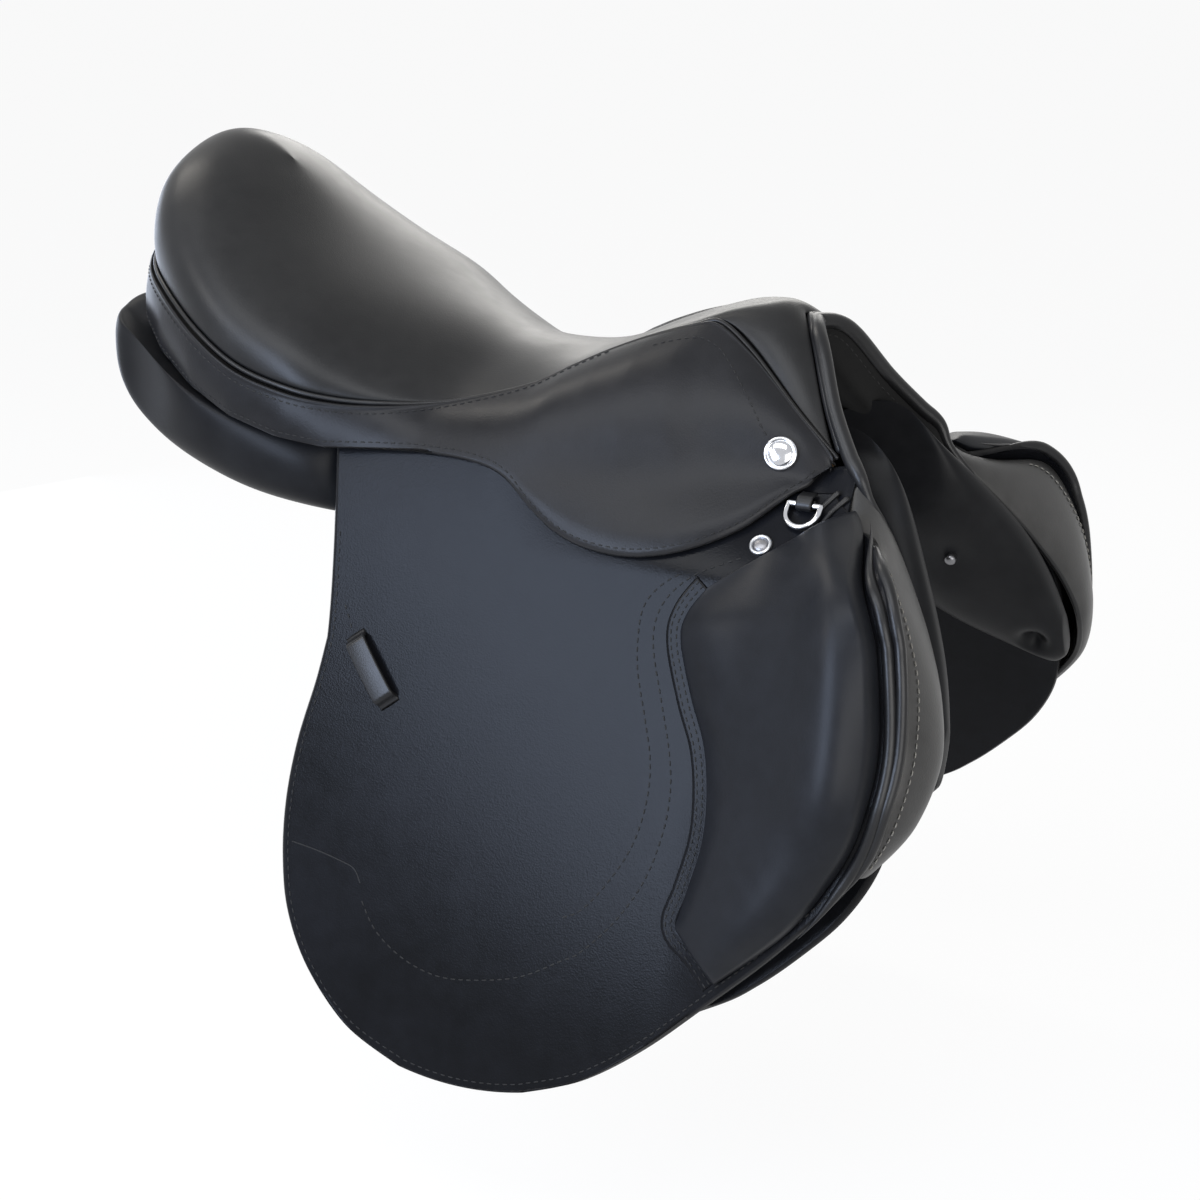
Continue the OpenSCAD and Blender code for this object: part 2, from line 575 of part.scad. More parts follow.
module dee_ring(s) {
    r = dee_w / 2 + dee_wire / 2;
    on_side(s) color([0.8, 0.81, 0.83])
    stand(dee_p, [1, 0, 0], dee_n) {
        rotate([0, 90, 0]) cylinder(d = dee_wire, h = 2 * r, center = true, $fn = 14);
        for (k = [-r, r]) translate([k, 0, 0]) sphere(d = dee_wire, $fn = 10);
        for (k = [-r, r]) translate([k, 0, 0]) rotate([-90, 0, 0])
        cylinder(d = dee_wire, h = 5, $fn = 14);
        translate([0, 5, 0])
        rotate_extrude(angle = 180, $fn = 20) translate([r, 0]) circle(d = dee_wire, $fn = 14);
    }
}

// Flat sweat flap and the girth straps in layers outside it
lean = 0.333;
turn = -0.05;
sweat_y = 84;
function flat_y(x, z, off) = sweat_y - turn * x / kx - lean * z + off * sqrt(1 + lean * lean);

sweat_rear = [[-92, -14], [-92, -60], [-96, -130], [-97, -190], [-84, -245], [-50, -280], [5, -298]];
sweat_front = [[208, -34], [243, -48], [259, -80], [262, -112], [254, -140], [234, -168], [212, -192],
    [194, -214], [153, -249], [95, -285], [35, -299]];
function sweat_at(p, q) = let (c = lerp(along(sweat_rear, q), along(sweat_front, q), p)) [c[0] * kx, c[1] * kz];

module sweat_flap(s) {
    qs = [for (i = [0:16]) i / 16];
    ps = [for (j = [0:4]) j / 4];
    a = [for (q = qs) [for (p = ps) let (c = sweat_at(p, q)) [c[0], flat_y(c[0], c[1], sweat_t), c[1]]]];
    b = [for (q = qs) [for (p = ps) let (c = sweat_at(p, q)) [c[0], flat_y(c[0], c[1], 0), c[1]]]];
    on_side(s) color([0.065, 0.065, 0.07]) slab(a, b);
}

// Padded roll along the front edge of the sweat flap, under the flap's front
roll_edge = [[214, -38], [245, -49], [260, -80], [263, -110], [255, -139], [237, -164]];
roll_h = 12;

module front_roll(s) {
    qs = [for (i = [0:12]) i / 12];
    ps = [0, 0.08, 0.25, 0.5, 0.75, 0.92, 1];
    function at(p, q) =
        let (
            c = along(roll_edge, q), d = along(roll_edge, min(1, q + 0.01)) - along(roll_edge, max(0, q - 0.01)),
            n = [d[1], -d[0]] / norm(d) * 20 * (1 - p)
        ) [(c[0] + n[0]) * kx, (c[1] + n[1]) * kz];
    function ends(q) = 0.4 + 0.6 * smooth(q * 5) * smooth(5 - 5 * q);
    function high(p, q) = 1.5 + roll_h * sqrt(max(0, 1 - pow(2 * p - 1, 2))) * ends(q);
    function lay(off) = [for (q = qs) [for (p = ps) let (c = at(p, q), h = off * high(p, q) + sweat_t + e)
        [c[0], flat_y(c[0], c[1], h), c[1]]]];
    on_side(s) color([0.06, 0.06, 0.065]) slab(lay(1), lay(0));
}

billet_z = -24;
function billet_x(k) = 5 * kx + (1 - k) * billet_pitch;
function billet_off(k) = sweat_t + gap + k * (billet_t + gap) + billet_t / 2;
function billet_p(k) = [billet_x(k), flat_y(billet_x(k), billet_z, billet_off(k)), billet_z];

module billet(s, k) {
    on_side(s) color([0.05, 0.05, 0.055])
    translate(billet_p(k))
    rotate([0, 0, -atan(turn / kx)]) rotate([atan(lean), 0, 0])
    difference() {
        union() {
            translate([-billet_w / 2, -billet_t / 2, -billet_l]) cube([billet_w, billet_t, billet_l + 10]);
            translate([0, billet_t / 2, -billet_l]) rotate([90, 0, 0])
            cylinder(d = billet_w, h = billet_t, $fn = 24);
        }
        for (i = [0:hole_count - 1])
        translate([0, billet_t, -billet_l - 1 + i * hole_pitch])
        rotate([90, 0, 0]) cylinder(d = hole_d, h = 2 * billet_t, $fn = 14);
    }
}

// Panel: cushions along the back, deep behind and a broad wing in front
// Each row is x, centre y and z, half length, half thickness, tilt
panel_rows = [
    [-297, 56, 50, 8, 8, 0], [-293, 57, 48, 22, 22, 0], [-280, 62, 42, 33, 33, 0], [-256, 68, 33, 41, 37, 2],
    [-225, 73, 22, 45, 39, 4], [-180, 75, 7, 48, 35, 8], [-135, 73, -4, 45, 29, 10], [-105, 68, -9, 40, 26, 14],
    [-80, 64, -9, 38, 25, 18], [-40, 62, -9, 38, 24, 22], [10, 61, -9, 38, 23, 26],
    [60, 60, -9, 39, 21, 36], [110, 56, -13, 42, 17, 48], [145, 55, -26, 48, 16, 56],
    [170, 57, -40, 54, 16, 60], [195, 65, -55, 57, 16, 61],
    [218, 76, -72, 54, 16, 62], [238, 89, -93, 41, 15, 63], [252, 100, -110, 26, 11, 64], [259, 106, -118, 10, 6, 64]
];
band_x = [for (i = [len(skirt_low) - 1:-1:8]) skirt_low[i]];
band_y = [for (q = band_x) [q.x, max(q.y, 84)]];
band_z = [for (q = band_x) [q.x, q.z - 2.5]];
function panel_room(x, z) =
    let (flat = flat_y(x, z, 0) - 1.1, band = lookup(x, band_y), n = x / kx)
    n > -95 ? flat : lerp(band + 8, flat, smooth((n + 140) / 45));

module panel(s) {
    m = 16;
    rows = [for (i = [0:27]) along(panel_rows, i / 27)];
    function pw(c) = sign(c) * pow(abs(c), 0.78);
    rings = [for (r = rows) let (x = r[0] * kx, zc = rise(r[2], r[0]))
        [for (k = [0:m - 1]) let (
            c = r[3] * pw(cos(360 * k / m)), d = r[4] * pw(sin(360 * k / m)),
            y = r[1] + c * cos(r[5]) + d * sin(r[5]), z = zc - c * sin(r[5]) + d * cos(r[5]),
            under = tree_t / 2 + plate_t + fit_gap + (r[0] > 45 ? 2.8 : 0.6),
            rail = r[0] > 130 || r[0] < -200 ? 200 : rail_z(x) - under,
            zz = min(z, rail, r[0] < -112 ? lookup(x, band_z) : 200)
        ) [x, min(max(y, channel_w / 2), panel_room(x, zz)), zz]]];
    on_side(s) color([0.06, 0.06, 0.065]) loft(rings);
}

// Small nail in the dimple of the panel's front wing
panel_nail_at = [203.6, 50.6, -60.65];
panel_nail_dir = [0.09, -0.89, -0.44];
module panel_nail(s) {
    p = fit(panel_nail_at);
    on_side(s) color([0.6, 0.6, 0.62]) stand(p, [1, 0, 0], panel_nail_dir) nail(7, 2);
}

seat_cover();
seat_foam();
seat_welt();
pommel_bead();
head_lining();
tree_frame();
tree_head();
head_plate();
gullet_plate();
spring(1);  // spring_left
spring(-1);  // spring_right
seat_webbing();
tree_rivets();
girth_web(1);  // girth_web_left
girth_web(-1);  // girth_web_right
stirrup_bar(1);  // stirrup_bar_left
stirrup_bar(-1);  // stirrup_bar_right
bar_catch(1);  // bar_catch_left
bar_catch(-1);  // bar_catch_right
skirt_band(1);  // skirt_band_left
skirt_band(-1);  // skirt_band_right
skirt(1);  // skirt_left
skirt(-1);  // skirt_right
skirt_nail(1);  // skirt_nail_left
skirt_nail(-1);  // skirt_nail_right
flap_upper(1);  // flap_upper_left
flap_upper(-1);  // flap_upper_right
flap(1);  // flap_left
flap(-1);  // flap_right
flap_nail(1);  // flap_nail_left
flap_nail(-1);  // flap_nail_right
knee_pad(1);  // knee_pad_left
knee_pad(-1);  // knee_pad_right
keeper(1);  // keeper_left
keeper(-1);  // keeper_right
dee_chape(1);  // dee_chape_left
dee_chape(-1);  // dee_chape_right
dee_ring(1);  // dee_ring_left
dee_ring(-1);  // dee_ring_right
sweat_flap(1);  // sweat_flap_left
sweat_flap(-1);  // sweat_flap_right
front_roll(1);  // front_roll_left
front_roll(-1);  // front_roll_right
billet(1, 0);  // billet_left_front
billet(1, 1);  // billet_left_middle
billet(1, 2);  // billet_left_rear
billet(-1, 0);  // billet_right_front
billet(-1, 1);  // billet_right_middle
billet(-1, 2);  // billet_right_rear
panel(1);  // panel_left
panel(-1);  // panel_right
panel_nail(1);  // panel_nail_left
panel_nail(-1);  // panel_nail_right
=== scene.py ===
import math

import bmesh
import bpy
import numpy as np
from mathutils import Matrix, Vector


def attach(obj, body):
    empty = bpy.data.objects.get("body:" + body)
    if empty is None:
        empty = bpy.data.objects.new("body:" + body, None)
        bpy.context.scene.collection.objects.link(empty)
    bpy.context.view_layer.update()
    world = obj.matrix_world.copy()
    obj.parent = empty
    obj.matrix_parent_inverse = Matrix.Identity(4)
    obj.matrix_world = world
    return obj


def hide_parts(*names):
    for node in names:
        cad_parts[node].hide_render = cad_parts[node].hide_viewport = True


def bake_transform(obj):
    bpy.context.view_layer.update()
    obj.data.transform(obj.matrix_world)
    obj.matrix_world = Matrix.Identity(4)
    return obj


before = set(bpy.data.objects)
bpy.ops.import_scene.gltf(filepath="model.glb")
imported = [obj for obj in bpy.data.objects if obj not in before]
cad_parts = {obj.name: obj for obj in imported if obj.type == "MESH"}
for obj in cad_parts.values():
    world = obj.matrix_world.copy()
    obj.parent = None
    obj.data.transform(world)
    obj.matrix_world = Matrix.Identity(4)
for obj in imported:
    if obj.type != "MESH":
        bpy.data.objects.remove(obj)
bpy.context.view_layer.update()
scene = bpy.context.scene
sides = (("left", 1), ("right", -1))
print("frame loaded:", len(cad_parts), "nodes")


# curves and grids, worked in millimetres
def lerp(a, b, t):
    return a + (b - a) * t


def smooth(t):
    t = np.clip(t, 0.0, 1.0)
    return t * t * (3.0 - 2.0 * t)


def unit(v):
    v = np.asarray(v, float)
    return v / np.maximum(np.linalg.norm(v, axis=-1, keepdims=True), 1e-9)


def dot(a, b):
    return (np.asarray(a) * np.asarray(b)).sum(-1, keepdims=True)


def steps(count):  # even shares from 0 to 1
    return np.linspace(0, 1, count)


def turns(count):  # even angles round a full turn
    return np.arange(count) * 2 * math.pi / count


def cellsOf(points, u):  # the points, the cell that each u falls in and its share of that cell
    p = np.asarray(points, float)
    s = np.asarray(u, float) * (len(p) - 1)
    i = np.clip(np.floor(s).astype(int), 0, len(p) - 2)
    return p, i, (s - i).reshape(s.shape + (1,) * (p.ndim - 1))


def along(points, u):  # smooth run through the points, u from 0 to 1
    p, i, t = cellsOf(points, u)
    a, b, c, d = p[np.maximum(i - 1, 0)], p[i], p[i + 1], p[np.minimum(i + 2, len(p) - 1)]
    run = 2 * b + (c - a) * t + (2 * a - 5 * b + 4 * c - d) * t ** 2
    return 0.5 * (run + (3 * b - a - 3 * c + d) * t ** 3)


def straight(points, u):
    p, i, t = cellsOf(points, u)
    return lerp(p[i], p[i + 1], t)


def bezier(a, b, c, d, t):
    s = 1 - t
    return s ** 3 * a + 3 * s * s * t * b + 3 * s * t * t * c + t ** 3 * d


def runLength(path):
    return np.concatenate([[0], np.cumsum(np.linalg.norm(np.diff(path, axis=0), axis=1))])


def atLength(path, places, values=None):  # points, or other values, at these distances along a path
    s = runLength(path)
    return np.stack([np.interp(places, s, v) for v in np.transpose(path if values is None else values)], 1)


def evenly(path, count):
    return atLength(path, np.linspace(0, runLength(path)[-1], count))


def fineRun(points, count):  # even points on the smooth run
    return evenly(along(points, steps(40 * len(points))), count)


def offsetRun(path, distance):  # shifts a flat run of (x, z) to its left
    t = unit(np.gradient(path, axis=0))
    return path + np.stack([-t[:, 1], t[:, 0]], 1) * distance


def tapered(thick, count, first, last):  # thin at both ends
    return thick * smooth(steps(count) * first + 0.15) * smooth(np.linspace(1, 0, count) * last + 0.15)


def easeRows(grid, first, last, share):  # rows move towards the mean of their neighbours
    mean = (grid[first - 1:last - 1] + grid[first + 1:last + 1]) / 2
    grid[first:last] = lerp(grid[first:last], mean, share)


def localFrame(run, normal):
    z = unit(normal)
    x = unit(np.asarray(run, float) - z * np.dot(run, z))
    return x, np.cross(z, x), z


def gridNormals(grid, outward):
    n = unit(np.cross(np.gradient(grid, axis=0), np.gradient(grid, axis=1)))
    return n * np.where(dot(n, outward) < 0, -1.0, 1.0)


def nearOn(grid, normals, plan):  # point and normal on a grid at each (x, z)
    flat, flatN = grid.reshape(-1, 3), normals.reshape(-1, 3)
    points, outs = [], []
    for x, z in plan:
        far = np.hypot(flat[:, 0] - x, flat[:, 2] - z)
        k = np.argsort(far)[:4]
        share = 1 / (far[k] + 0.1)
        share /= share.sum()
        rise = flatN[k, 0] * (x - flat[k, 0]) + flatN[k, 2] * (z - flat[k, 2])
        y = flat[k, 1] - rise / np.maximum(flatN[k, 1], 0.25)
        points.append((x, (y * share).sum(), z))
        outs.append((flatN[k] * share[:, None]).sum(0))
    return np.array(points), unit(np.array(outs))


# meshes
weldGap = 0.00002  # metres


def metres(points, side=1):  # from millimetres, mirrored for the right side
    return np.asarray(points, float) * (0.001, 0.001 * side, 0.001)


def makePiece(name, shape, finish, side=1, weld=False):  # shape: points, faces and perhaps each point's edge mark, which the leather finish uses for wear and a painted edge highlight
    verts, faces, *wearAndEdgeHighlight = shape
    mesh = bpy.data.meshes.new(name)
    mesh.from_pydata(metres(verts, side).tolist(), [], [list(map(int, f)) for f in faces])
    if wearAndEdgeHighlight:
        mesh.attributes.new("wearAndEdgeHighlight", "FLOAT", "POINT").data.foreach_set("value", np.asarray(wearAndEdgeHighlight[0], np.float32))
    tidy = bmesh.new()
    tidy.from_mesh(mesh)
    if weld:
        bmesh.ops.remove_doubles(tidy, verts=tidy.verts, dist=weldGap)
    bmesh.ops.recalc_face_normals(tidy, faces=tidy.faces)
    for face in tidy.faces:
        face.smooth = True
    tidy.to_mesh(mesh)
    tidy.free()
    mesh.materials.append(finish)
    obj = bpy.data.objects.new(name, mesh)
    scene.collection.objects.link(obj)
    return obj


def quads(rows, cols, first=0):
    i, j = np.meshgrid(np.arange(rows - 1), np.arange(cols - 1), indexing="ij")
    a = (i * cols + j).ravel() + first
    return np.stack([a, a + cols, a + cols + 1, a + 1], 1)


def rimOf(rows, cols):
    i = [0] * cols + list(range(1, rows)) + [rows - 1] * (cols - 1) + list(range(rows - 2, 0, -1))
    j = list(range(cols)) + [cols - 1] * (rows - 1) + list(range(cols - 2, -1, -1)) + [0] * (rows - 2)
    return np.array(i), np.array(j)


def band(a, b):  # faces between two closed rings of vertex numbers
    return np.stack([a, np.roll(a, -1), np.roll(b, -1), b], 1)


def leatherSheet(grid, thick, outward, rounding=0.38, normals=None):  # cut leather with a rounded edge
    rows, cols = grid.shape[:2]
    n = gridNormals(grid, outward) if normals is None else normals
    top, low = grid.copy(), grid - n * thick
    i, j = rimOf(rows, cols)
    edge, edgeN = grid[i, j], n[i, j]
    away = edge - grid[np.clip(i, 1, rows - 2), np.clip(j, 1, cols - 2)]
    run = unit(np.roll(edge, -1, 0) - np.roll(edge, 1, 0))
    out = unit(np.cross(run, edgeN))
    out = out * np.sign((out * away).sum()) * rounding * thick
    top[i, j] -= out
    low[i, j] -= out
    verts = np.concatenate([top.reshape(-1, 3), low.reshape(-1, 3), edge - edgeN * thick / 2])
    size = rows * cols
    ring = i * cols + j
    middle = 2 * size + np.arange(len(i))
    faces = np.concatenate([quads(rows, cols), quads(rows, cols, size), band(ring, middle), band(middle, ring + size)])
    # the rim and the middle edge ring are marked: the leather finish lightens them as a painted edge highlight and
    # makes them a little glossier as wear
    wearAndEdgeHighlight = np.zeros(len(verts))
    wearAndEdgeHighlight[ring] = 0.55
    wearAndEdgeHighlight[middle] = 1.0
    return verts, faces, wearAndEdgeHighlight


def padBody(top, base):  # closed cushion between two grids
    rows, cols = top.shape[:2]
    size = rows * cols
    i, j = rimOf(rows, cols)
    ring = i * cols + j
    verts = np.concatenate([top.reshape(-1, 3), base.reshape(-1, 3)])
    return verts, np.concatenate([quads(rows, cols), quads(rows, cols, size), band(ring, ring + size)])


def loft(rings):
    rings = np.asarray(rings, float)
    rows, cols = rings.shape[:2]
    number = np.arange(rows * cols).reshape(rows, cols)
    faces = [f for k in range(rows - 1) for f in band(number[k], number[k + 1])]
    return rings.reshape(-1, 3), faces + [number[0][::-1], number[-1]]


def tube(path, radius, count=10):  # round run with domed ends
    path = np.asarray(path, float)
    radius = np.broadcast_to(np.asarray(radius, float), (len(path),))
    t = unit(np.gradient(path, axis=0))
    side = unit(np.cross(t[0], [0.31, 0.17, 0.93]))  # any way off the run
    angle = turns(count)
    rings = []
    for p, r, d in zip(path, radius, t):
        side = unit(side - d * np.dot(side, d))
        rings.append((p, r, side, np.cross(d, side), d))
    dome = [(math.sin(a), math.cos(a)) for a in (1.4, 1.0, 0.5)]
    sections = [(p - d * r * s, r * c, x, y) for s, c in dome for p, r, x, y, d in rings[:1]]
    sections += [(p, r, x, y) for p, r, x, y, d in rings]
    sections += [(p + d * r * s, r * c, x, y) for s, c in dome[::-1] for p, r, x, y, d in rings[-1:]]
    return loft([[p + r * (math.cos(a) * x + math.sin(a) * y) for a in angle] for p, r, x, y in sections])


def lathe(profile, place, normal, radius=1, count=48):  # profile of (share of radius, height) stood on a surface
    x, y, z = localFrame((1, 0, 0), normal)
    spokes = [math.cos(a) * x + math.sin(a) * y for a in turns(count)]
    return loft([[place + max(radius * r, 0.02) * d + h * z for d in spokes] for r, h in profile])


def joined(parts):
    verts, faces, first = [], [], 0
    for v, f in parts:
        verts.append(v)
        faces += [[int(k) + first for k in face] for face in f]
        first += len(v)
    return np.concatenate(verts), faces


stitchShape = ((-1.0, 0.3, -0.7), (-0.62, 0.95, 0.0), (0.62, 0.95, 0.0), (1.0, 0.3, -0.7))  # place, thickness, rise


def stitchRow(path, normals, thread):  # one row of short sewn lengths
    total = runLength(path)[-1]
    count = max(1, int(total / thread["step"]))
    places = (np.arange(count) + 0.5) * total / count
    middle, half = atLength(path, places), thread["long"] / 2
    run = unit(atLength(path, np.minimum(places + 0.8, total)) - atLength(path, np.maximum(places - 0.8, 0)))
    across = unit(np.cross(unit(atLength(path, places, normals)), run))
    n = np.cross(run, across)
    verts = []
    for t, fat, rise in stitchShape:
        for a in turns(5):
            section = n * (rise + thread["lift"] + fat * math.sin(a)) + across * fat * math.cos(a)
            verts.append(middle + run * t * half + thread["thick"] * section)
    cell = loft(np.zeros((len(stitchShape), 5, 3)))[1]
    faces = [len(verts) * k + f for k in range(count) for f in cell]
    return np.stack(verts, 1).reshape(-1, 3), faces


def evened(values, edges, rounds, share):  # each point takes part of its neighbours' mean
    for k in range(rounds):
        total, count = np.zeros_like(values), np.zeros((len(values), 1), values.dtype)
        for a, b in ((0, 1), (1, 0)):
            np.add.at(total, edges[:, a], values[edges[:, b]])
            np.add.at(count, edges[:, a], 1)
        values = values + (total / np.maximum(count, 1) - values) * share
    return values


def edgesOf(obj):
    return np.array([e.vertices for e in obj.data.edges])


def coordsOf(mesh):
    points = np.zeros(len(mesh.vertices) * 3, np.float32)
    mesh.vertices.foreach_get("co", points)
    return points.reshape(-1, 3)


def calmed(obj, share, rounds):  # takes creases out of a form without sinking it
    points, edges = coordsOf(obj.data).astype(float) * 1000, edgesOf(obj)
    eased = evened(points, edges, rounds, share)
    points = eased - evened(eased - points, edges, 3 * rounds, share)
    obj.data.vertices.foreach_set("co", (points / 1000).astype(np.float32).ravel())


def heldOf(p, q, margins):  # numbers of the points on a cushion's rim and base
    rim = (np.minimum(p, 1 - p) < margins[0]) | (np.minimum(q, 1 - q) < margins[1])
    return list(np.nonzero(rim.ravel())[0]) + list(range(p.size, 2 * p.size))


clothLook = {
    "quality": 5, "mass": 0.3, "air_damping": 2.0, "tension_stiffness": 15.0, "compression_stiffness": 15.0,
    "shear_stiffness": 8.0, "bending_stiffness": 1.5, "use_pressure": True, "vertex_group_mass": "held",
    "pin_stiffness": 1.0,
}


def puff(obj, held, look):  # air pressure under the leather, then the result is kept
    rest = coordsOf(obj.data)
    obj.vertex_groups.new(name="held").add([int(k) for k in held], 1.0, "REPLACE")
    cloth = obj.modifiers.new("swell", "CLOTH")
    for key, value in clothLook.items():
        setattr(cloth.settings, key, value)
    cloth.settings.uniform_pressure_force = look["pressure"]
    cloth.settings.effector_weights.gravity = 0.0
    cloth.collision_settings.use_collision = False
    cloth.point_cache.frame_start, cloth.point_cache.frame_end = 1, look["frames"]
    for number in range(1, look["frames"] + 1):
        scene.frame_set(number)
    seen = obj.evaluated_get(bpy.context.evaluated_depsgraph_get()).to_mesh()
    shift = coordsOf(seen) - rest
    size = np.linalg.norm(shift, axis=1, keepdims=True)
    shift *= np.minimum(1.0, look["cap"] / np.maximum(size, 1e-9))
    free = np.full((len(shift), 1), 0.5, np.float32)
    free[held] = 0
    shift = evened(shift, edgesOf(obj), look["ease"], free)  # taut leather shares its swelling
    obj.modifiers.remove(cloth)
    obj.vertex_groups.clear()
    scene.frame_set(1)
    obj.data.vertices.foreach_set("co", (rest + shift).ravel())
    obj.data.update()
    most = float(np.linalg.norm(shift, axis=1).max()) * 1000
    print("  swelled", obj.name, "by up to", round(most, 2), "mm")


def subdivide(obj):
    obj.modifiers.new("fine", "SUBSURF").levels = 1
    bpy.context.view_layer.update()
    made = bpy.data.meshes.new_from_object(obj.evaluated_get(bpy.context.evaluated_depsgraph_get()))
    obj.modifiers.clear()
    obj.data = made
    for face in made.polygons:
        face.use_smooth = True


def mirrorOf(obj, name):
    other = obj.copy()
    other.data = obj.data.copy()
    other.name = other.data.name = name
    other.data.vertices.foreach_set("co", (coordsOf(obj.data) * np.array([1, -1, 1], np.float32)).ravel())
    other.data.flip_normals()
    scene.collection.objects.link(other)
    return other


def settle(body, slot, *pieces):  # the body that the pieces ride on; the slot is not used
    for obj in pieces:
        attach(obj, body)


# finishes: a wire is one value in a material, and sums on it add Math nodes
class Wire:
    def __init__(self, book, socket):
        self.book, self.socket = book, socket

    def sum(self, how, a, b):
        return self.book.add("ShaderNodeMath", {"operation": how}, {0: a, 1: b})

    def __add__(self, other):
        return self.sum("ADD", self, other)

    def __radd__(self, other):
        return self.sum("ADD", other, self)

    def __sub__(self, other):
        return self.sum("SUBTRACT", self, other)

    def __rsub__(self, other):
        return self.sum("SUBTRACT", other, self)

    def __mul__(self, other):
        return self.sum("MULTIPLY", self, other)

    def __rmul__(self, other):
        return self.sum("MULTIPLY", other, self)


class FinishBook:  # the nodes of a material or of the world
    def __init__(self, name, group=bpy.data.materials):
        self.holder = group.new(name)
        self.holder.use_nodes = True
        self.tree = self.holder.node_tree
        self.tree.nodes.clear()

    def add(self, kind, settings=None, sockets=None, out=0):
        node = self.tree.nodes.new(kind)
        for key, value in (settings or {}).items():
            setattr(node, key, value)
        for key, value in (sockets or {}).items():
            if isinstance(value, Wire):
                self.tree.links.new(value.socket, node.inputs[key])
            else:
                node.inputs[key].default_value = value
        return Wire(self, node.outputs[out]) if len(node.outputs) else None

    def mixed(self, share, a, b):
        a, b = (c if isinstance(c, Wire) else (*c, 1.0) for c in (a, b))
        return self.add("ShaderNodeMix", {"data_type": "RGBA"}, {0: share, 6: a, 7: b}, 2)

    def place(self):
        return self.add("ShaderNodeTexCoord", out="Object")

    def noise(self, place, scale, detail=3.0, rough=0.5):
        sockets = {"Vector": place, "Scale": scale, "Detail": detail, "Roughness": rough}
        return self.add("ShaderNodeTexNoise", None, sockets)

    def wave(self, place, way, scale, distortion, **more):
        sockets = {"Vector": place, "Scale": scale, "Distortion": distortion, **more}
        return self.add("ShaderNodeTexWave", {"bands_direction": way}, sockets, "Fac")

    def bump(self, strength, distance, height):
        return self.add("ShaderNodeBump", None, {"Strength": strength, "Distance": distance, "Height": height})

    def surface(self, sockets):
        shader = self.add("ShaderNodeBsdfPrincipled", None, sockets)
        self.add("ShaderNodeOutputMaterial", None, {"Surface": shader})
        return self.holder

    def shown(self):  # 1 for rays that see the backdrop, 0 for light falling on the saddle
        camera, glossy, through = (self.add("ShaderNodeLightPath", out="Is " + kind + " Ray")
                                   for kind in ("Camera", "Glossy", "Transmission"))
        return camera + glossy + through


def leather(name, look):
    book = FinishBook(name)
    place = book.place()
    cloud, mottle = book.noise(place, look["cloud"], 4.0, 0.55), book.noise(place, 95.0)
    pores = book.add("ShaderNodeTexVoronoi", {"feature": "F1"}, {"Vector": place, "Scale": look["grain"]})
    creases = book.noise(place, look["grain"] * 0.42, 2.0)
    wearAndEdgeHighlight = book.add("ShaderNodeAttribute", {"attribute_name": "wearAndEdgeHighlight"}, None, "Fac")
    span = {"Value": cloud * 0.75 + mottle * 0.25, "From Min": 0.33, "From Max": 0.67}
    tone = book.mixed(book.add("ShaderNodeMapRange", None, span), look["dark"], look["light"])
    # edges lightened towards the edge tint: a painted edge highlight, with wear
    tone = book.mixed(wearAndEdgeHighlight * 0.5, tone, look.get("edgeWearAndHighlightTint", look["light"]))
    bump = book.bump(look["bump"], 0.00035, pores * 0.65 + creases * 0.5)
    rough = look["rough"] + (mottle - 0.5) * look["roughSpread"] + (cloud - 0.5) * look["roughSpread"] - wearAndEdgeHighlight * 0.06
    return book.surface({"Base Color": tone, "Roughness": rough, "Normal": bump, "Specular IOR Level": look["shine"]})


def threadFinish(name, dark, light):
    book = FinishBook(name)
    twist = book.wave(book.place(), "DIAGONAL", 900.0, 2.0)
    tone, bump = book.mixed(twist, dark, light), book.bump(0.4, 0.0002, twist)
    rough, shine = 0.62 + twist * 0.1, 0.3
    return book.surface({"Base Color": tone, "Roughness": rough, "Normal": bump, "Specular IOR Level": shine})


def metal(name, dark, light, depth, rough):
    book = FinishBook(name)
    place = book.place()
    smear = book.noise(place, 60.0, 4.0)
    scratch = book.noise(book.add("ShaderNodeMapping", None, {"Vector": place, "Scale": (1.0, 9.0, 1.0)}), 420.0, 2.0)
    tone, bump = book.mixed(smear, dark, light), book.bump(depth, 0.0001, scratch)
    rough = rough + (smear - 0.5) * 0.12 + (scratch - 0.5) * 0.08
    return book.surface({"Base Color": tone, "Metallic": 1.0, "Roughness": rough, "Normal": bump})


def wood(name, dark, light):
    book = FinishBook(name)
    place = book.place()
    grain, fleck = book.wave(place, "Z", 120.0, 3.0, Detail=3.0), book.noise(place, 240.0, 4.0)
    tone = book.mixed(grain * 0.7 + fleck * 0.3, dark, light)
    bump = book.bump(0.25, 0.0004, fleck + grain * 0.5)
    return book.surface({"Base Color": tone, "Roughness": 0.5 + fleck * 0.2, "Normal": bump})


def weave(name, dark, light):
    book = FinishBook(name)
    place = book.place()
    warp, weft, cross = (book.wave(place, way, 210.0, 0.6) for way in "XZY")
    cloth = warp * 0.4 + weft * 0.3 + cross * 0.3
    tone, bump = book.mixed(cloth, dark, light), book.bump(0.6, 0.0006, cloth)
    return book.surface({"Base Color": tone, "Roughness": 0.8 + cloth * 0.12, "Normal": bump})


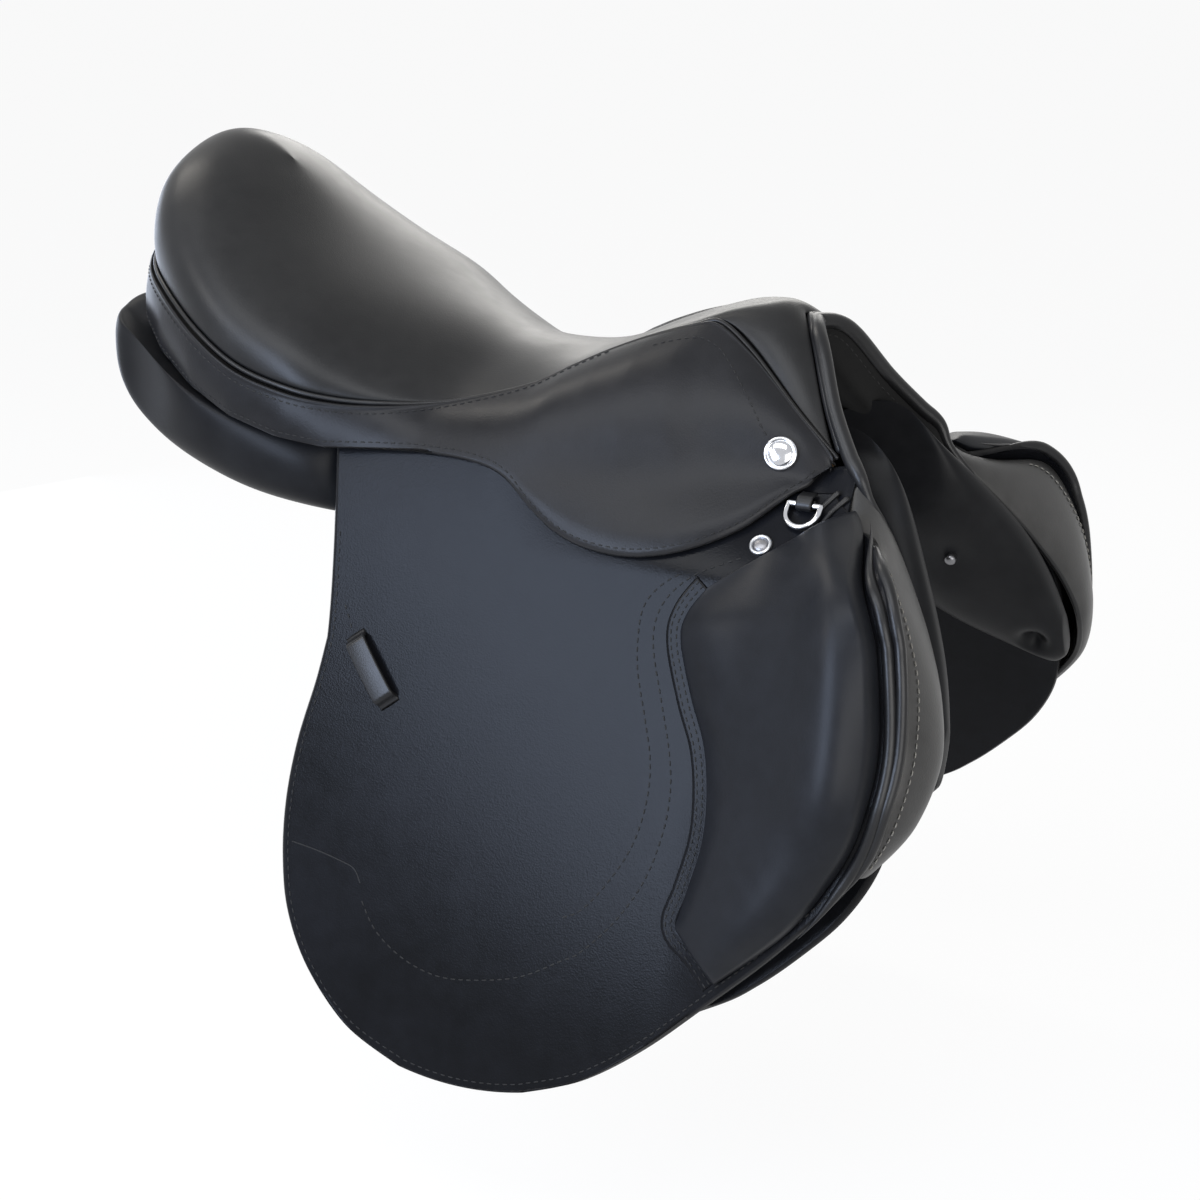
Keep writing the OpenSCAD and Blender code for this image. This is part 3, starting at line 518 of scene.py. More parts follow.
leatherKeys = ("dark", "light", "cloud", "grain", "bump", "rough", "roughSpread", "shine", "edgeWearAndHighlightTint")
leatherLook = {
    "Seat": ((0.0070, 0.0070, 0.0073), (0.0125, 0.0123, 0.0122), 9.0, 1150.0, 0.14, 0.37, 0.10, 0.18),
    "Flap": ((0.0034, 0.0036, 0.0043), (0.0062, 0.0065, 0.0080), 8.0, 980.0, 0.20, 0.22, 0.10, 0.075,
             (0.028, 0.027, 0.026)),
    "Skirt": ((0.0065, 0.0065, 0.0072), (0.0115, 0.0115, 0.0126), 9.0, 980.0, 0.20, 0.35, 0.12, 0.13,
              (0.030, 0.029, 0.028)),
    # the roll's tones are lighter than the other black leathers: a painted sheen standing in for the reflection on it
    "Roll": ((0.018, 0.0176, 0.017), (0.038, 0.037, 0.036), 22.0, 900.0, 0.20, 0.38, 0.14, 0.32),
    "Pad": ((0.0055, 0.0060, 0.0074), (0.0095, 0.0103, 0.0126), 10.0, 1250.0, 0.12, 0.40, 0.10, 0.12),
    "Panel": ((0.0046, 0.0047, 0.0054), (0.0086, 0.0088, 0.0096), 12.0, 1250.0, 0.12, 0.42, 0.10, 0.09),
    "Trim": ((0.0055, 0.0055, 0.0060), (0.0105, 0.0105, 0.0110), 14.0, 1100.0, 0.16, 0.34, 0.10, 0.24),
    "Lining": ((0.0045, 0.0045, 0.0047), (0.0085, 0.0084, 0.0083), 14.0, 1100.0, 0.16, 0.46, 0.10, 0.06),
}
seatFinish, flapFinish, skirtFinish, rollSheenFinish, padFinish, panelFinish, trimFinish, liningFinish = (
    leather(key + "Leather", dict(zip(leatherKeys, row))) for key, row in leatherLook.items())
darkThread = threadFinish("DarkThread", (0.004, 0.004, 0.004), (0.012, 0.012, 0.012))
paleThread = threadFinish("PaleThread", (0.10, 0.095, 0.085), (0.22, 0.21, 0.19))
chromeFinish = metal("BrightMetal", (0.46, 0.47, 0.50), (0.62, 0.63, 0.66), 0.05, 0.12)
steelFinish = metal("BarSteel", (0.30, 0.31, 0.33), (0.46, 0.47, 0.49), 0.15, 0.34)
nailFinish = metal("NailGrey", (0.13, 0.13, 0.14), (0.24, 0.24, 0.25), 0.1, 0.38)
woodFinish = wood("TreeWood", (0.22, 0.12, 0.055), (0.42, 0.27, 0.14))
webFinish = weave("WebCloth", (0.12, 0.105, 0.08), (0.30, 0.27, 0.21))
girthFinish = weave("GirthWeb", (0.02, 0.019, 0.018), (0.06, 0.057, 0.052))
print("finishes made")


# seat: rows run round the rim, each with the welt, two points over the roll and the middle line
seatLook = {
    "rows": np.array([
        [[172, 56, 27], [154, 40, 57], [143, 22, 88], [129.5, 0, 90.5]],
        [[147, 50, 48], [137, 40, 72], [131, 20, 95.5], [125, 0, 96.5]],
        [[113, 33, 75], [112.5, 31, 89], [115.5, 16, 98], [117.5, 0, 98]],
        [[91, 24, 87], [93, 22, 93], [102, 12, 96.5], [106, 0, 96]],
        [[76, 26, 84], [77, 25, 88], [86, 13, 90.5], [90, 0, 90.5]],
        [[54, 30, 77], [55, 29, 80], [64, 15, 81], [68, 0, 81]],
        [[31, 36, 67.5], [32, 35, 70], [40, 18, 70.5], [44, 0, 71]],
        [[11, 46, 58], [12, 45, 60], [18, 23, 62], [20, 0, 62.5]],
        [[-8, 57, 48.5], [-8, 56, 50], [-6, 29, 59], [-5, 0, 59.8]],
        [[-34, 70, 41], [-34, 69, 43], [-33, 36, 58.5], [-32, 0, 60]],
        [[-60, 83, 36.5], [-60, 83, 41], [-60, 46, 60], [-58, 0, 61.5]],
        [[-85, 98, 36.5], [-85, 99, 48], [-85, 60, 67], [-84, 0, 69]],
        [[-112, 110, 38.5], [-112, 114, 60], [-111, 74, 77.5], [-110, 0, 79]],
        [[-139, 119, 44], [-140, 124, 78], [-139, 82, 92], [-135, 0, 92]],
        [[-174, 118, 53], [-177, 123, 95], [-170, 82, 111], [-158, 0, 106]],
        [[-207, 109, 68.5], [-213, 114, 117], [-197, 72, 133], [-176, 0, 119]],
        [[-240, 91, 86], [-249, 95, 144], [-215, 56, 156], [-189, 0, 130]],
        [[-262, 71, 97], [-272, 74, 160], [-228, 40, 171], [-197, 0, 137]],
        [[-277, 40, 104], [-287, 41, 173], [-237, 20, 181], [-202, 0, 142]],
        [[-283, 0, 107], [-292, 0, 177], [-239, 0, 187], [-204, 0, 144]]], float),
    "welt": 3.6, "piping": 1.5, "around": 100, "across": 26, "depth": 14.0,
    "pressure": 4.0, "cap": 0.0025, "frames": 18, "ease": 40, "calm": 30,
}


def seatPoint(u, v):
    m = along(seatLook["rows"], u)
    u, v = np.asarray(u, float), np.asarray(v, float)[..., None]
    foot = m[..., 0, :] + weltOut(u) * 2.4 * smooth((u - 0.1) / 0.1)[..., None] + (0, 0, 0.9)
    return bezier(foot, m[..., 1, :], m[..., 2, :], m[..., 3, :], v)


def bothSides(half):  # half a run, then its mirror back to the start
    return np.concatenate([half, half[-2::-1] * (1, -1, 1)])


def weltOut(u):
    m = along(seatLook["rows"], u)
    out = m[..., 0, :] - m[..., 3, :]
    out[..., 1], out[..., 2] = m[..., 0, 1], 0.0
    return unit(out)


def weltPoint(u):
    return along(seatLook["rows"], u)[..., 0, :] + weltOut(u) * seatLook["welt"] * 0.78


def makeSeat():
    u, v = np.meshgrid(steps(seatLook["around"]), steps(seatLook["across"]), indexing="ij")
    top = bothSides(seatPoint(u, v))
    u, v = (np.concatenate([k, k[-2::-1]]) for k in (u, v))
    middle = np.zeros_like(top)
    middle[..., 0], middle[..., 2] = along(seatLook["rows"], u)[..., 3, 0], top[..., 2] - 60
    n = gridNormals(top, top - middle)
    n[:, -1] = unit(n[:, -2] * (1, 0, 1))  # the middle line is shared by both halves
    deep = lerp(3.5, seatLook["depth"], smooth(v * 2.5))  # thin at the rim
    deep = lerp(6.5, deep, smooth((u - 0.16) / 0.16))  # and over the head arch
    verts = np.concatenate([grid.reshape(-1, 3) for grid in (top, top - n * deep[..., None])])
    rows, cols = top.shape[:2]
    size = rows * cols
    number = np.arange(size).reshape(rows, cols)
    faces = list(quads(rows, cols)) + list(quads(rows, cols, size))
    for run in (number[:, 0], number[0], number[-1]):  # walls; the seam on the middle line is welded instead
        faces += [[a, b, b + size, a + size] for a, b in zip(run[:-1], run[1:])]
    seat = makePiece("Seat_cushion", (verts, faces), seatFinish, weld=True)
    points = coordsOf(seat.data).astype(float) * 1000
    free = top[2:-2, 2:].reshape(-1, 3)
    held = [k for k, p in enumerate(points) if np.abs(free - p).sum(1).min() > 0.02]  # rim, walls and underside stay
    foot = lerp(30, 118, smooth((-190 - points[:, 0]) / 90))  # below this height the creases stay
    calm = 0.5 * smooth((62 - np.abs(points[:, 1])) / 40) * smooth((points[:, 2] - foot) / 12)
    calm[held] = 0
    calmed(seat, calm[:, None], seatLook["calm"])
    puff(seat, held, seatLook)
    subdivide(seat)
    settle("saddle", "seat_leather", seat)
    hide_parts("seat_cover", "seat_foam")
    u = steps(150)
    run, out = weltPoint(u), weltOut(u)
    piping = makePiece("Seat_piping", tube(bothSides(run), seatLook["piping"], 12), trimFinish)
    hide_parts("seat_welt")
    inner, outer = along(seatLook["rows"], u)[:, 0] - out * 7 + (0, 0, 1.5), run + out * 0.6 - (0, 0, 4.2)
    grid = bothSides(lerp(inner[:, None], outer[:, None], steps(6)[None, :, None]))
    seam = makePiece("Seat_seam", leatherSheet(grid, 1.4, (0, 0, 1))[:2], trimFinish)
    settle("saddle", "trim_leather", piping, seam)


makeSeat()
print("seat made")


# roll along the head arch with a thin cord beside it, and the lining inside
archLook = {
    "bead": [(136.7, 0, 87.5), (143.4, 14, 84.5), (151, 25, 75.5), (164.6, 42, 50.5), (179.6, 56, 30), (189.4, 63, 19)],
    "runOn": [(196, 63.5, 6), (207, 67, -8), (223, 81, -29)],
    "head": [(111.5, 0, 79), (118, 13, 76), (124, 22, 68), (137, 36, 45), (152, 49, 23), (168.5, 61, 3),
             (181, 69, -14), (188, 75, -26)],
    "liningRear": [(84, 0, 66), (86, 10, 65), (89, 18, 60), (93, 24, 51), (95, 25.5, 42), (97, 25.5, 33),
                   (104, 27, 20), (118, 32, 4)],
    "beadD": 9.0, "cordD": 5.4, "lining": 9.6, "points": 60,
    "thread": {"long": 3.0, "step": 4.6, "thick": 0.4, "lift": 0.2},
}


def crossed(half):  # from the right end over the top to the left end
    return np.concatenate([half[:0:-1] * (1, -1, 1), half])


def makeArch():
    half = fineRun(archLook["bead"] + archLook["runOn"], 90)
    thin = np.interp(half[:, 2], (-29, 8, 24), (0.42, 0.62, 1.0))  # thins to a piping below the seat
    radius = np.concatenate([thin[:0:-1], thin]) * archLook["beadD"] / 2
    bead = makePiece("Arch_roll", tube(crossed(half), radius, 18), trimFinish)
    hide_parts("pommel_bead")
    count = archLook["points"]
    rim = fineRun(seatPoint(np.zeros(30), np.linspace(1, 0.04, 30)), count)
    cord = lerp(rim, fineRun(archLook["bead"][:-1], count), 0.48) + (0, 0, 0.3)
    cord[0, 1] = 0
    cord = makePiece("Arch_cord", tube(crossed(cord), archLook["cordD"] / 2, 14), trimFinish)
    head = fineRun(archLook["head"], count)
    run = unit(np.gradient(head, axis=0))
    wide = unit(np.array([1, 0, -0.25]) - run * dot(run, [1, 0, -0.25]))
    up = np.cross(wide, run)
    front = fineRun(archLook["bead"] + archLook["runOn"][:2], count) - up * 2.6
    near, far = (head + wide * k - up * archLook["lining"] for k in (13.5, -13.5))
    lines = np.stack([front, near, far, fineRun(archLook["liningRear"], count)])
    full = crossed(along(lines, steps(28)).transpose(1, 0, 2))
    full[count - 1, :, 1] = 0
    under = gridNormals(full, full * (0, -1, 0) - (0, 0, 25))
    lining = makePiece("Arch_lining", leatherSheet(full, 1.3, under)[:2], liningFinish)
    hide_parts("head_lining")
    sewn = makePiece("Arch_stitching", stitchRow(full[:, 3], under[:, 3], archLook["thread"]), darkThread)
    settle("saddle", "trim_leather", bead, cord, lining, sewn)


makeArch()
print("arch made")


# hanging leather: how far out it stands at (x, z)
def hang(plan):
    plan = np.asarray(plan, float)
    x, d = plan[..., 0], -plan[..., 1]
    plain = (110 - 0.03 * x + 0.433 * d - 0.000357 * d * d - 28 * smooth((x + 20) / 190) * smooth((35 - d) / 55)
             + 14 * smooth((x - 130) / 110) * smooth((d + 5) / 45))
    flare = 13 * smooth((165 - d) / 50) + 8 * smooth((100 - d) / 60) + 22 * smooth((42 - d) / 40)
    return plain + smooth((x - 197) / 36) * flare  # the flare goes out over the front roll


def hangNormal(plan):
    plan = np.asarray(plan, float)
    overX, overZ = ((hang(plan + step) - hang(plan - step)) / 2 for step in np.eye(2))
    return unit(np.stack([-overX, np.ones_like(overX), -overZ], -1))


def hung(plan, off=0.0):
    plan = np.asarray(plan, float)
    return np.stack([plan[..., 0], hang(plan), plan[..., 1]], -1) + hangNormal(plan) * off


def sewnRow(plan, thread, off=0.0):
    return stitchRow(hung(plan, off), hangNormal(plan), thread)


def bend(obj, body, side, ends, look):  # bakes the piece's transform into its mesh; the fold line is worked out, but nothing stays or swings along it and the body is not used
    front, rear = ends
    down = unit(np.cross(unit(front - rear), look["inward"]))
    down = down if down[2] < 0 else -down
    middle = (front + rear) / 2 + look["shift"]
    start, end = (metres(middle + down * d, side) for d in (-look["reach"], look["reach"]))
    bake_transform(obj)


# leather over the tree's points, under the skirt tip and behind the flap's front corner
pointLook = {
    "top": [(146, 60, 26), (154, 60, 24), (162, 59, 22.5), (170, 58, 21.5), (177, 58, 23), (183, 59, 24),
            (188, 61, 21)],
    "low": [(150, 2), (158, 1), (166, -2), (173, -4), (180, -6), (187, -9), (193, -12)], "inside": 7.0, "thick": 2.0,
    "welts": [[(171, -3.5), (175.6, 5), (181, 11.5)], [(177.5, -3.5), (181.5, 3.5), (187, 9.5)]],
}


def makePoint(name, side):
    low = along(pointLook["low"], steps(40))
    a, b = along(pointLook["top"], steps(40)), hung(low, -pointLook["inside"])
    t = steps(14)[None, :, None]
    grid = lerp(a[:, None], b[:, None], t) + np.array([0, 0.8, 0.6]) * 6 * t * (1 - t)
    piece = makePiece("Point_facing_" + name, leatherSheet(grid, pointLook["thick"], (0, 1.0, 0.4)), flapFinish, side)
    parts = [tube(hung(fineRun(r, 24), 0.3), 1.5) for r in pointLook["welts"]]
    welts = makePiece("Point_welts_" + name, joined(parts), trimFinish, side)
    settle("saddle", "flap_leather", piece, welts)


for name, side in sides:
    makePoint(name, side)
print("point facings made")


# skirt and cantle band in one piece, turning at the fold into the lobe; nothing lifts or bends along the fold
skirtLook = {
    "foldFront": np.array([167, 72, 17.5]), "foldRear": np.array([-3, 111, 10.0]), "thick": 3.4,
    "fold": {"inward": (0, -0.76, -0.65), "shift": (0, 0.6, -0.3), "reach": 5},
    "foldAt": [0, 0.145, 0.301, 0.451, 0.613, 0.775, 0.925],
    "lowRear": [(-12, 111.5, 11.5), (-36, 111, 15), (-62, 113, 14.5), (-88, 117, 13), (-116, 122.5, 11.5),
                (-146, 126, 15), (-180, 123.5, 23), (-213, 114, 35), (-246, 96, 48.5), (-272, 74, 61),
                (-292, 42, 71), (-299, 0, 76)],
    "bow": [0, 5, 13, 18, 21, 22, 20, 16, 10, 6, 4, 3, 3, 3, 3, 3, 3, 3, 3, 3],
    "lobe": [(167.5, 16.5), (157, 9), (142, -4), (124, -13.5), (104, -20.5), (84, -24.5), (64, -25),
             (44, -22), (26, -15), (11, -5.5), (-1, 5.5)],
    "thread": {"long": 3.1, "step": 4.6, "thick": 0.42, "lift": 0.25},
    "innerRow": [(56.6, 74.6), (67, 77.7), (78, 80), (84, 80.4), (90.2, 79), (95.3, 77), (100, 74.6),
                 (111, 66.2), (124.8, 53.2), (133, 43.5), (138.2, 37.4)],
    "nailU": 1.62 / 19, "nailV": 0.8, "nailD": 19.0,
    "nailShape": [(0, -1.0), (0.9, -1.0), (0.99, 0.0), (1, 0.8), (0.98, 1.7), (0.93, 2.35), (0.86, 2.5), (0.80, 2.25),
                  (0.77, 1.8), (0.74, 1.75), (0.71, 2.2), (0.62, 2.75), (0.45, 3.3), (0.25, 3.65), (0, 3.8)],
}
skirtFold = [tuple(lerp(skirtLook["foldFront"], skirtLook["foldRear"], t)) for t in skirtLook["foldAt"]]
skirtLow = np.array([(173, 62, 23)] + skirtFold + skirtLook["lowRear"], float)


def bandPoint(u, v):
    u, v = np.asarray(u, float), np.asarray(v, float)[..., None]
    q, bow, out, c = straight(skirtLow, u), straight(skirtLook["bow"], u)[..., None], weltOut(u), weltPoint(u)
    n = unit(out * np.maximum(1, c[..., 2:] - q[..., 2:]) + np.array([0, 0, 1.0]) * np.maximum(0, dot(q - c, out)))
    d = unit((q - c) * 0.33 + n * bow)
    w = c + d * 2.1 + unit(n - d * dot(n, d)) * skirtLook["thick"] / 2
    return bezier(w, lerp(w, q, 0.33) + n * bow, lerp(w, q, 0.67) + n * bow, q, v)


def lobePoint(r, v):
    r, v = np.asarray(r, float), np.asarray(v, float)[..., None]
    a = lerp(skirtLook["foldFront"], skirtLook["foldRear"], (0.012 + 0.976 * r)[..., None]) + (0, 0.6, -0.7)
    q = along(skirtLook["lobe"], r)
    x, z = q[..., 0], q[..., 1]
    low = np.stack([x, np.maximum(hang(q) + 5.9, a[..., 1] + 1), z], -1)
    n = unit(np.stack([0 * x, a[..., 2] - low[..., 2] + 0.1, low[..., 1] - a[..., 1]], -1))
    ends = (smooth(r * 6) * smooth((1 - r) * 6))[..., None]
    return lerp(a, low, v) + n * 17 * v * (1 - v) * ends


def skirtGrid():
    cells = len(skirtLow) - 1
    tip, first, last, cantle = 0.0005, 1 / cells, 7.45 / cells, 0.9985  # the lobe runs from first to last
    us = np.concatenate([np.linspace(tip, first, 8)[:-1], np.linspace(first, last, 104),
                         np.linspace(last, cantle, 110)[1:]])
    lip = np.array([0, 0.7, 1.4, 2.1, 2.8, 3.6, 4.6, 6.0])  # close rows along the seat seam
    columns = []
    for u in us:
        r = (np.interp(u * cells, range(1, 9), skirtLook["foldAt"] + [1.05]) - 0.012) / 0.976
        if 0 <= r <= 1 and u * cells >= 1:
            path = np.concatenate([bandPoint(np.full(7, u), [0, 0.12, 0.26, 0.42, 0.58, 0.72, 0.86]),
                                   lobePoint(np.full(6, r), [0.1, 0.26, 0.44, 0.62, 0.8, 1.0])])
        else:
            path = bandPoint(np.full(13, u), steps(13))
        path = along(path, steps(160))
        columns.append(atLength(path, np.concatenate([lip, np.linspace(lip[-1], runLength(path)[-1], 30)[1:]])))
    grid = np.array(columns)
    front, middle = (0.5 * smooth(np.linspace(k, 1, grid.shape[1]))[None, :, None] for k in (-0.2, -0.6))
    for k in range(14):
        easeRows(grid.swapaxes(0, 1), 8, -3, 0.5)
        easeRows(grid, 2, 30, front)
    for k in range(60):  # the band's edge swings into the lobe
        easeRows(grid, 88, 134, middle)
    n = gridNormals(grid, np.array([0, 1.0, 0.6]) + weltOut(us)[:, None, :])
    n[-1] = unit(n[-1] * (1, 0, 1))
    far = np.linalg.norm(grid - grid[:, :1], axis=-1)
    ridge = np.exp(-((far - 2.1) / 0.9) ** 2) * 0.7  # sewn lip along the seat seam
    return grid + n * ridge[..., None], n


def makeSkirt(name, side, grid, n):
    piece = makePiece("Skirt_" + name, leatherSheet(grid, skirtLook["thick"], n, 0.34), skirtFinish, side)

    def rowAt(first, place):  # a sewn row so far from the seat seam, or from the edge where it is below 0
        path, normal = [], []
        for column, out in zip(grid[first:-2], n[first:-2]):
            s = runLength(column)
            at = place if place > 0 else s[-1] + place
            path.append(atLength(column, [at])[0])
            normal.append(out[np.clip(np.searchsorted(s, at), 0, len(s) - 1)])
        return stitchRow(np.array(path), np.array(normal), skirtLook["thread"])

    inner = stitchRow(*nearOn(grid, n, fineRun(skirtLook["innerRow"], 90)), skirtLook["thread"])
    rows = [rowAt(6, -4.2), rowAt(86, 6.4), inner]
    sewn = makePiece("Skirt_stitching_" + name, joined(rows), darkThread, side)
    for obj in (piece, sewn):
        bend(obj, "skirt_" + name, side, (skirtLook["foldFront"], skirtLook["foldRear"]), skirtLook["fold"])
    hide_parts("skirt_band_" + name, "skirt_" + name)


def makeSkirtNail(name, side):
    u, v = np.array(skirtLook["nailU"]), np.array(skirtLook["nailV"])
    spot = bandPoint(u, v)
    overU, overV = (bandPoint(u + a, v + b) - bandPoint(u - a, v - b) for a, b in ((0.006, 0), (0, 0.02)))
    n = unit(np.cross(overU, overV))
    n = n if n[1] > 0 else -n
    shape = lathe(skirtLook["nailShape"], spot, n, skirtLook["nailD"] / 2)
    nail = makePiece("Skirt_stud_" + name, shape, chromeFinish, side)
    settle("saddle", "bright_metal", nail)
    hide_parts("skirt_nail_" + name)


skirtTop, skirtN = skirtGrid()
for name, side in sides:
    makeSkirt(name, side, skirtTop, skirtN)
    makeSkirtNail(name, side)
print("skirts made")


# flap in one piece; the line where it would lift is given, but nothing bends along it
flapLook = {
    "top": [(-118, 18), (-70, 21), (-20, 19), (30, 10), (80, 6.6), (120, 6.8), (150, 10.4), (183, 12.2)],
    "topRear": (-118, 18), "topFront": (181, 12.2), "bendRear": (-101, -92), "bendFront": (200, -2), "thick": 4.4,
    "fold": {"inward": (0, -0.9, -0.43), "shift": (0, -2, 0), "reach": 9.0}, "footDip": 4.6, "binding": 3.2,
    "rear": [(-101, -92), (-104, -116), (-110.5, -150), (-113, -184), (-110.5, -217), (-103, -247),
             (-86, -276.5), (-58, -303), (-20, -318.8)],
    "front": [(200, -2), (221, -1), (237, -10), (248, -32), (255, -68), (255, -112), (241, -157), (203, -204),
              (158, -249), (126, -279), (92, -303), (57, -317)],
    "thread": {"long": 3.3, "step": 4.9, "thick": 0.45, "lift": 0.2},
    "innerRow": [(110, -31), (101, -37), (93, -47), (91, -59), (94, -81), (103, -106), (110, -128), (111, -150),
                 (106, -173), (94, -195), (81, -211), (70, -217)],
    "outerRow": [(142, -20), (119, -30), (105, -43), (100, -57), (102, -72), (111, -96), (120, -121), (124, -141),
                 (123, -163), (116, -189), (102, -213), (84, -233), (73, -240), (50, -253), (25, -260), (0, -263),
                 (-23, -258), (-43, -246), (-55, -230)],
    "dots": [(-92, -72), (-84, -86)], "pressedCreaseShade": [(-104, -206), (-88, -208), (-72, -211), (-62, -214), (-57, -221)],
    "nailAt": (149.5, -14), "nailD": 13.0,
    "nailRing": [(0.60, -0.6), (0.98, -0.6), (1, 0.5), (0.97, 1.5), (0.86, 2.1), (0.74, 2.0), (0.66, 1.3), (0.62, 0.6)],
    "nailDisc": [(0, -0.4), (0.64, -0.4), (0.64, 0.9), (0.55, 1.5), (0.35, 1.9), (0, 2.1)],
}


def flapOutline():  # rear edge, front edge and foot in plan, and the shares of the rows above the bend
    v = steps(26)[:-1]
    edges = []
    for end, share in (("Rear", 1 - (1 - v) ** 1.4), ("Front", smooth(v))):
        (x, z), (bendX, bendZ) = flapLook["top" + end], flapLook["bend" + end]
        upper = np.stack([lerp(x, bendX, share), lerp(z, bendZ, v)], 1)
        edges.append(np.concatenate([upper, along(flapLook[end.lower()], steps(112))]))
    t = steps(40)[1:-1, None]
    foot = lerp(edges[0][-1], edges[1][-1], t) - t * (1 - t) * (0, 4 * flapLook["footDip"])
    return *edges, foot, v


def flapGrid():
    rear, front, foot, v = flapOutline()
    p, rows = steps(96), len(v)
    plan = lerp(rear[:, None], front[:, None], p[None, :, None])
    top = np.interp(lerp(rear[0, 0], front[0, 0], p), *np.transpose(flapLook["top"]))
    plan[:rows, :, 1] = lerp(top, lerp(rear[rows, 1], front[rows, 1], p), v[:, None])
    q = steps(len(plan) - rows)[:, None]
    plan[rows:, :, 1] -= flapLook["footDip"] * smooth((q - 0.88) / 0.12) * 4 * p * (1 - p)
    return hung(plan), plan


def bendFlap(obj, name, side):
    bend(obj, "flap_" + name, side, hung([flapLook["bendFront"], flapLook["bendRear"]]), flapLook["fold"])


def makeFlap(name, side, grid, plan):
    sheet = leatherSheet(grid, flapLook["thick"], None, normals=hangNormal(plan))
    piece = makePiece("Flap_" + name, sheet, flapFinish, side)
    rear, front, foot, v = flapOutline()
    edge = offsetRun(evenly(np.concatenate([rear[12:], foot, front[:60:-1]]), 260), 5.0)
    dots = evenly(np.array(flapLook["dots"], float), 8)
    rows = [edge, fineRun(flapLook["innerRow"], 90), fineRun(flapLook["outerRow"], 160), dots]
    parts = [sewnRow(r, flapLook["thread"]) for r in rows]
    # a thin tube in the dark thread finish along the pressed crease: painted shade of the crease
    parts.append(tube(hung(fineRun(flapLook["pressedCreaseShade"], 40)), 0.35, 6))
    sewn = makePiece("Flap_stitching_" + name, joined(parts), darkThread, side)
    bound = hung(offsetRun(evenly(front[30:92], 120), -1.6), -1.6)  # rolled front edge
    thick = tapered(flapLook["binding"], len(bound), 8, 4)
    binding = makePiece("Flap_binding_" + name, tube(bound, thick, 12), trimFinish, side)
    for obj in (piece, sewn, binding):
        bendFlap(obj, name, side)
    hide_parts("flap_upper_" + name, "flap_" + name)
    spot, n, r = hung(flapLook["nailAt"]), hangNormal(flapLook["nailAt"]), flapLook["nailD"] / 2
    nail = makePiece("Flap_stud_" + name, lathe(flapLook["nailRing"], spot, n, r), steelFinish, side)
    core = makePiece("Flap_stud_centre_" + name, lathe(flapLook["nailDisc"], spot, n, r), nailFinish, side)
    settle("saddle", "bright_metal", nail, core)
    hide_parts("flap_nail_" + name)


flapTop, flapPlan = flapGrid()
for name, side in sides:
    makeFlap(name, side, flapTop, flapPlan)
print("flaps made")


# knee pad: low behind, rolled up along its front
padLook = {
    "rear": [(127, -36), (118, -50), (117, -64), (128, -91), (140, -115), (146, -140), (147, -164), (142, -190),
             (138, -209)],
    "front": [(194, 5), (218, -12), (232, -27), (241, -58), (245, -100), (240, -133), (227, -163), (205, -196),
              (166, -233)],
    "foot": [(152, -220), (165, -232)], "long": 235.0, "brow": 2.0, "low": 12.0, "high": 27.0,
    "roundRear": 17.0, "roundFront": 22.0, "roundFoot": 30.0, "topRun": (66.0, 26.0), "lean": (0.10, 0.93, 0.36),
    "rows": 88, "across": 46, "base": 0.9, "margins": (0.03, 0.02),
    "pressure": 4.0, "cap": 0.003, "frames": 16, "ease": 40, "calm": 60,
    "thread": {"long": 3.0, "step": 4.4, "thick": 0.42, "lift": 0.2},
    "rim": 3.3, "rimOut": 5.2, "border": (1.5, -0.6, -2.7, -4.8, -6.9, -9.0), "rowsAt": (-2.6, -5.9),
}


def padPlan(p, q):
    p, q = np.asarray(p, float), np.asarray(q, float)
    plan = lerp(along(padLook["rear"], q), along(padLook["front"], q), p[..., None])
    return plan + (4 * p * (1 - p) * np.maximum(0, 1 - q / 0.12))[..., None] * (0, padLook["brow"])


def quarter(distance, radius):  # height of a rounded edge, 0 at the edge and 1 past the radius
    return np.sqrt(np.maximum(0, 1 - (1 - np.clip(distance / radius, 0, 1)) ** 2))


def padUp(p, q):
    wide = np.linalg.norm(along(padLook["front"], q) - along(padLook["rear"], q), axis=-1)
    down, up = q * padLook["long"], (1 - q) * padLook["long"]
    top = lerp(smooth(down / padLook["topRun"][0]), quarter(down, padLook["topRun"][1]), smooth((p - 0.4) / 0.45))
    body = quarter(p * wide, padLook["roundRear"]) * quarter((1 - p) * wide, padLook["roundFront"]) * top
    body = body * (0.2 + 0.8 * quarter(up, padLook["roundFoot"]))
    fade = 1 - 0.45 * smooth((q - 0.4) / 0.55)
    return 1.6 + (padLook["low"] + (padLook["high"] - padLook["low"]) * smooth((p - 0.15) / 0.6) * fade) * body


def padPoint(p, q):
    plan = padPlan(p, q)
    n = unit(lerp(hangNormal(plan), np.array(padLook["lean"]), 0.75))
    foot = hung(plan, padLook["base"])
    return foot + n * padUp(p, q)[..., None], foot


def makePad():
    q, p = np.meshgrid(steps(padLook["rows"]), steps(padLook["across"]) ** 0.92, indexing="ij")
    pad = makePiece("Knee_pad_left", padBody(*padPoint(p, q)), padFinish)
    held = heldOf(p, q, padLook["margins"])
    calm = np.full((len(pad.data.vertices), 1), 0.5)
    calm[held] = 0
    calmed(pad, calm, padLook["calm"])
    puff(pad, held, padLook)
    subdivide(pad)
    return {"left": pad, "right": mirrorOf(pad, "Knee_pad_right")}


